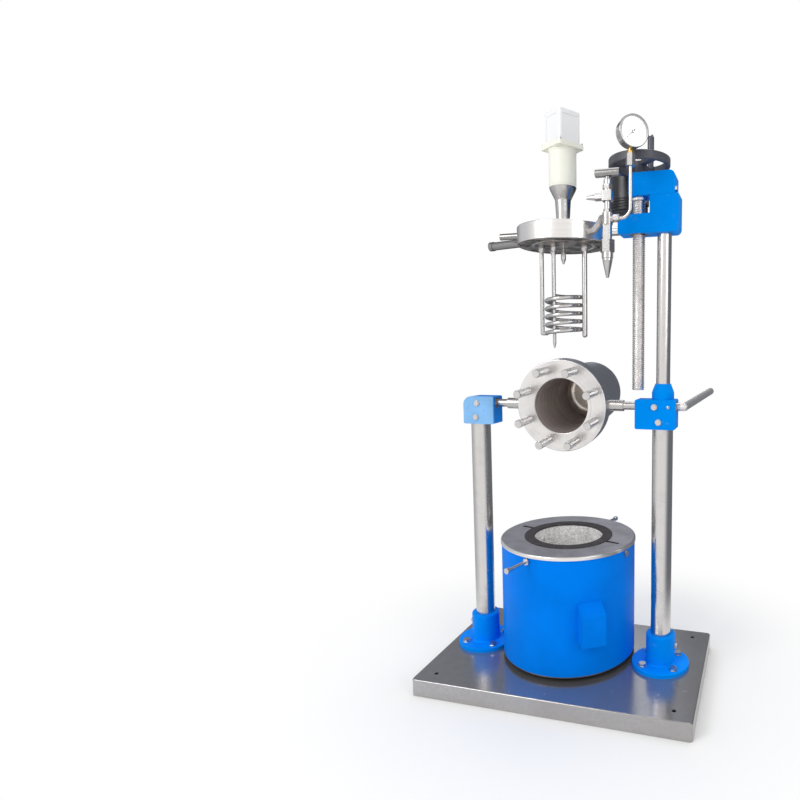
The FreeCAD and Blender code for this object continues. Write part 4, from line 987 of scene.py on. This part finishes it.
class REACTOR_OT_gauge_face(bpy.types.Operator):
    """Print the gauge's scale and numbers, all of them generic"""

    bl_idname = "reactor.gauge_face"
    bl_label = "Gauge face"

    def execute(self, context):
        turn = Matrix.Rotation(gauge_turn, 4, "Z") @ Matrix.Rotation(math.pi / 2, 4, "X")
        stem = middle_of("gauge_stem")
        place = Matrix.Translation((stem.x, stem.y, middle_of("gauge_case").z)) @ turn
        marks = surface("dial_marks", scale_marks(place), "black_plastic", "lift_carriage")
        mesh = scale_numbers(place, context.scene.reactor_sizes.dial_largest)
        numbers = add_piece("dial_numbers", mesh, "black_plastic", "lift_carriage")
        ink = printed("dial_ink", linear(36, 36, 40))
        for piece in (marks, numbers):
            piece.data.materials[0] = ink
        return {"FINISHED"}


class REACTOR_OT_washers(bpy.types.Operator):
    """Put washers under the hexagon heads, and a grease nipple on the right clamp block"""

    bl_idname = "reactor.washers"
    bl_label = "Washers and nipple"

    def execute(self, context):
        thick = context.scene.reactor_sizes.washer_thickness
        grids = []
        seats = []
        for node in ("left_column", "right_column"):
            for index in range(4):
                angle = math.radians(45.0 + 90.0 * index)
                point = around(middle_of(node), socket_bolt_circle, angle, socket_flange_top)
                seats.append((point, (0, 0, 1), flange_washer_radius))
        block_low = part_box("right_clamp_block")[0]
        left_x = middle_of("left_column").x
        right_x = middle_of("right_column").x
        upper = trunnion_axis.z
        lower = (block_low.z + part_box("right_column")[1].z) / 2
        front = block_low.y
        for x, z in (
            (left_x + left_bolt_offset, upper),
            (left_x, lower),
            (right_x + right_bolt_offset, upper),
            (right_x + right_lower_bolt_offset, lower),
        ):
            seats.append(((x, front, z), (0, -1, 0), block_washer_radius))
        for point, outward, radius in seats:
            profile = [
                (0.0, 0.0),
                (radius, 0.0),
                (radius, thick - 0.0004),
                (radius - 0.0004, thick),
                (0.0, thick),
            ]
            grids.append(moved(lathe(profile, 40), standing_on(point, outward)))
        surface("washers", grids, "fastener_steel", "stand")
        nipple = [
            (0.0, 0.0),
            (0.0042, 0.0),
            (0.0042, 0.0022),
            (0.0028, 0.0028),
            (0.0024, 0.0045),
            (0.0031, 0.0056),
            (0.0031, 0.0066),
            (0.0019, 0.0080),
            (0.0, 0.0080),
        ]
        place = standing_on((right_x + nipple_offset, front, upper), (0, -1, 0))
        surface("grease_nipple", [moved(lathe(nipple, 24), place)], "fastener_steel", "stand")
        return {"FINISHED"}


class REACTOR_OT_tube_fittings(bpy.types.Operator):
    """Screw fittings for the tubes under the lid, and the screws of the seal housing"""

    bl_idname = "reactor.tube_fittings"
    bl_label = "Tube fittings"

    def execute(self, context):
        under = lid_low.z
        axis = Vector((lid_axis.x, column_y, 0))
        start = around(axis, coil_riser_radius, math.radians(coil_start_angle), 0)
        end = around(axis, coil_radius, math.radians(coil_end_angle), 0)
        places = [
            (start, coil_tube_radius),
            (end, coil_tube_radius),
            (middle_of("dip_tube"), dip_tube_radius),
            (middle_of("thermowell"), thermowell_radius),
        ]
        grids = []
        for point, radius in places:
            profile = [
                (0.0, under),
                (radius + 0.0050, under),
                (radius + 0.0050, under - 0.0035),
                (radius + 0.0035, under - 0.0045),
                (radius + 0.0035, under - 0.0120),
                (radius + 0.0008, under - 0.0175),
                (0.0, under - 0.0175),
            ]
            grids.append(moved(lathe(profile, 32), Matrix.Translation((point.x, point.y, 0))))
        surface("tube_glands", grids, "tube_steel", "lift_carriage")
        grids = []
        for index in range(6):
            angle = math.radians(60.0 * index + 12.0)
            centre = around(axis, seal_screw_circle, angle, lid_high.z + seal_flange_height)
            grids.append(moved(socket_screw(*seal_screw), Matrix.Translation(centre)))
        surface("seal_screws", grids, "fastener_steel", "lift_carriage")
        return {"FINISHED"}


def socket_screw(radius, height):
    """A cap screw's head with a round recess: a stepped (radius, height) profile, turned."""
    return lathe(
        [
            (0.0, 0.0),
            (radius, 0.0),
            (radius, height - radius * 0.15),
            (radius * 0.85, height),
            (radius * 0.55, height),
            (radius * 0.5, height * 0.45),
            (0.0, height * 0.45),
        ],
        20,
    )


class REACTOR_OT_drive_screws(bpy.types.Operator):
    """Screws in the corners of the motor's flange"""

    bl_idname = "reactor.drive_screws"
    bl_label = "Motor screws"

    def execute(self, context):
        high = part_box("motor_flange")[1]
        axis = middle_of("motor_flange")
        grids = []
        for index in range(4):
            angle = math.radians(45.0 + 90.0 * index + drive_turn)
            centre = around(axis, motor_screw_circle, angle, high.z)
            grids.append(moved(socket_screw(*motor_screw), Matrix.Translation(centre)))
        surface("motor_screws", grids, "fastener_steel", "lift_carriage")
        return {"FINISHED"}


def rays(finish, *names):
    """Wires of the Light Path node's outputs with these names."""
    paths = finish.node("ShaderNodeLightPath").socket.node
    return [Wire(finish, paths.outputs[name]) for name in names]


def make_floor():
    """A floor that is plain near the reactor and turns into the white backdrop far out."""
    mesh = bpy.data.meshes.new("floor")
    half = 9.0
    corners = [(-half, -half), (half, -half), (half, half), (-half, half)]
    mesh.from_pydata([(x, y, floor_height) for x, y in corners], [], [(0, 1, 2, 3)])
    floor = bpy.data.objects.new("floor", mesh)
    bpy.context.scene.collection.objects.link(floor)
    finish = Finish("floor")
    finish.set(Base_Color=(0.93, 0.93, 0.93), Roughness=0.7)
    x, y = finish.parts(finish.place())[:2]
    far = ((x * x + y * y) ** 0.5).span(0.55, 1.05)
    direct, glossy, passing = rays(
        finish, "Is Camera Ray", "Is Glossy Ray", "Is Transmission Ray"
    )
    walls, colour = studio_walls(finish, x, y)
    settings = {
        "Color": finish.mix(glossy, (1, 1, 1), colour),
        "Strength": 1 - glossy * (1 - walls),
    }
    glow = finish.node("ShaderNodeEmission", {}, settings)
    plain = Wire(finish, finish.shader.outputs[0])
    share = far * (direct + glossy + passing)
    whole = finish.node("ShaderNodeMixShader", {}, {0: share, 1: plain, 2: glow})
    finish.put(finish.tree.nodes["Material Output"].inputs["Surface"], whole)
    mesh.materials.append(finish.material)


def make_world():
    """White to the camera, soft light on the object, and the studio's walls in metal."""
    world = bpy.data.worlds.new("studio")
    world.use_nodes = True
    bpy.context.scene.world = world
    sky = Finish("studio", world.node_tree)
    x, y, z = sky.parts(sky.node("ShaderNodeTexCoord", output="Generated"))
    side = sideways(x, y)
    window = (1 - (side * side).span(0.001, 0.012)) * y.span(0.2, 0.5) * z.span(0.40, 0.48)
    walls, colour = studio_walls(sky, x, y)
    seen = (walls + window * 1.3) * (1 - z.span(0.35, 0.85) * 0.35)
    direct, glossy = rays(sky, "Is Camera Ray", "Is Glossy Ray")
    strength = direct + (1 - direct) * (glossy * seen + (1 - glossy) * 0.75)
    background = world.node_tree.nodes["Background"]
    sky.put(background.inputs["Color"], sky.mix(glossy, (1, 1, 1), colour))
    sky.put(background.inputs["Strength"], strength)


def make_lamps():
    """Three area lamps: key, fill and top, each with place, target, size and power."""
    lamps = [
        ("key", (-1.6, -2.6, 2.6), (0, 0, 0.8), 1.6, 42.0),
        ("fill", (2.6, -1.6, 1.8), (0, 0, 0.8), 1.4, 12.0),
        ("top", (0.2, 0.6, 3.2), (0, 0, 0.6), 1.8, 20.0),
    ]
    for name, place, target, size, power in lamps:
        lamp = bpy.data.lights.new(name, "AREA")
        lamp.size = size
        lamp.energy = power
        holder = bpy.data.objects.new(name, lamp)
        bpy.context.scene.collection.objects.link(holder)
        holder.location = place
        aim = Vector(target) - Vector(place)
        holder.rotation_euler = aim.to_track_quat("-Z", "Y").to_euler()


def make_camera():
    """The camera at the photo's view."""
    camera = bpy.data.cameras.new("camera")
    camera.sensor_width = 36.0
    camera.lens = camera_lens
    camera.shift_x, camera.shift_y = camera_shift
    camera.clip_end = 50.0
    holder = bpy.data.objects.new("camera", camera)
    bpy.context.scene.collection.objects.link(holder)
    holder.location = camera_place
    holder.rotation_euler = Euler((camera_pitch, 0.0, camera_turn), "XYZ")
    bpy.context.scene.camera = holder


class REACTOR_OT_stage(bpy.types.Operator):
    """Set up the floor, the studio's light and the camera"""

    bl_idname = "reactor.stage"
    bl_label = "Stage"

    def execute(self, context):
        context.scene.view_settings.view_transform = "Standard"
        make_floor()
        make_world()
        make_lamps()
        make_camera()
        return {"FINISHED"}


class REACTOR_PT_panel(bpy.types.Panel):
    """Lists the reactor's pieces in the sidebar"""

    bl_idname = "REACTOR_PT_panel"
    bl_label = "High pressure reactor"
    bl_space_type = "VIEW_3D"
    bl_region_type = "UI"
    bl_category = "Reactor"

    def draw(self, context):
        column = self.layout.column()
        for group in (context.scene.reactor_sizes, context.scene.reactor_colours):
            for key in group.__annotations__:
                column.prop(group, key)
        for operator in operators:
            column.operator(operator.bl_idname)


operators = (
    REACTOR_OT_finish_frame,
    REACTOR_OT_stage,
    REACTOR_OT_lead_screw,
    REACTOR_OT_studs,
    REACTOR_OT_heating_wire,
    REACTOR_OT_gauge_face,
    REACTOR_OT_washers,
    REACTOR_OT_tube_fittings,
    REACTOR_OT_drive_screws,
)
classes = (ReactorSizes, ReactorColours, *operators, REACTOR_PT_panel)


def register():
    """Register the classes and hang the settings on the scene."""
    for item in classes:
        bpy.utils.register_class(item)
    bpy.types.Scene.reactor_sizes = PointerProperty(type=ReactorSizes)
    bpy.types.Scene.reactor_colours = PointerProperty(type=ReactorColours)


def unregister():
    """Take the settings and the classes away again."""
    del bpy.types.Scene.reactor_sizes
    del bpy.types.Scene.reactor_colours
    for item in reversed(classes):
        bpy.utils.unregister_class(item)


def main():
    """Make every piece in order."""
    register()
    bpy.ops.reactor.finish_frame()
    bpy.ops.reactor.stage()
    bpy.ops.reactor.lead_screw()
    bpy.ops.reactor.studs()
    bpy.ops.reactor.heating_wire()
    bpy.ops.reactor.gauge_face()
    bpy.ops.reactor.washers()
    bpy.ops.reactor.tube_fittings()
    bpy.ops.reactor.drive_screws()


if __name__ == "__main__":
    main()
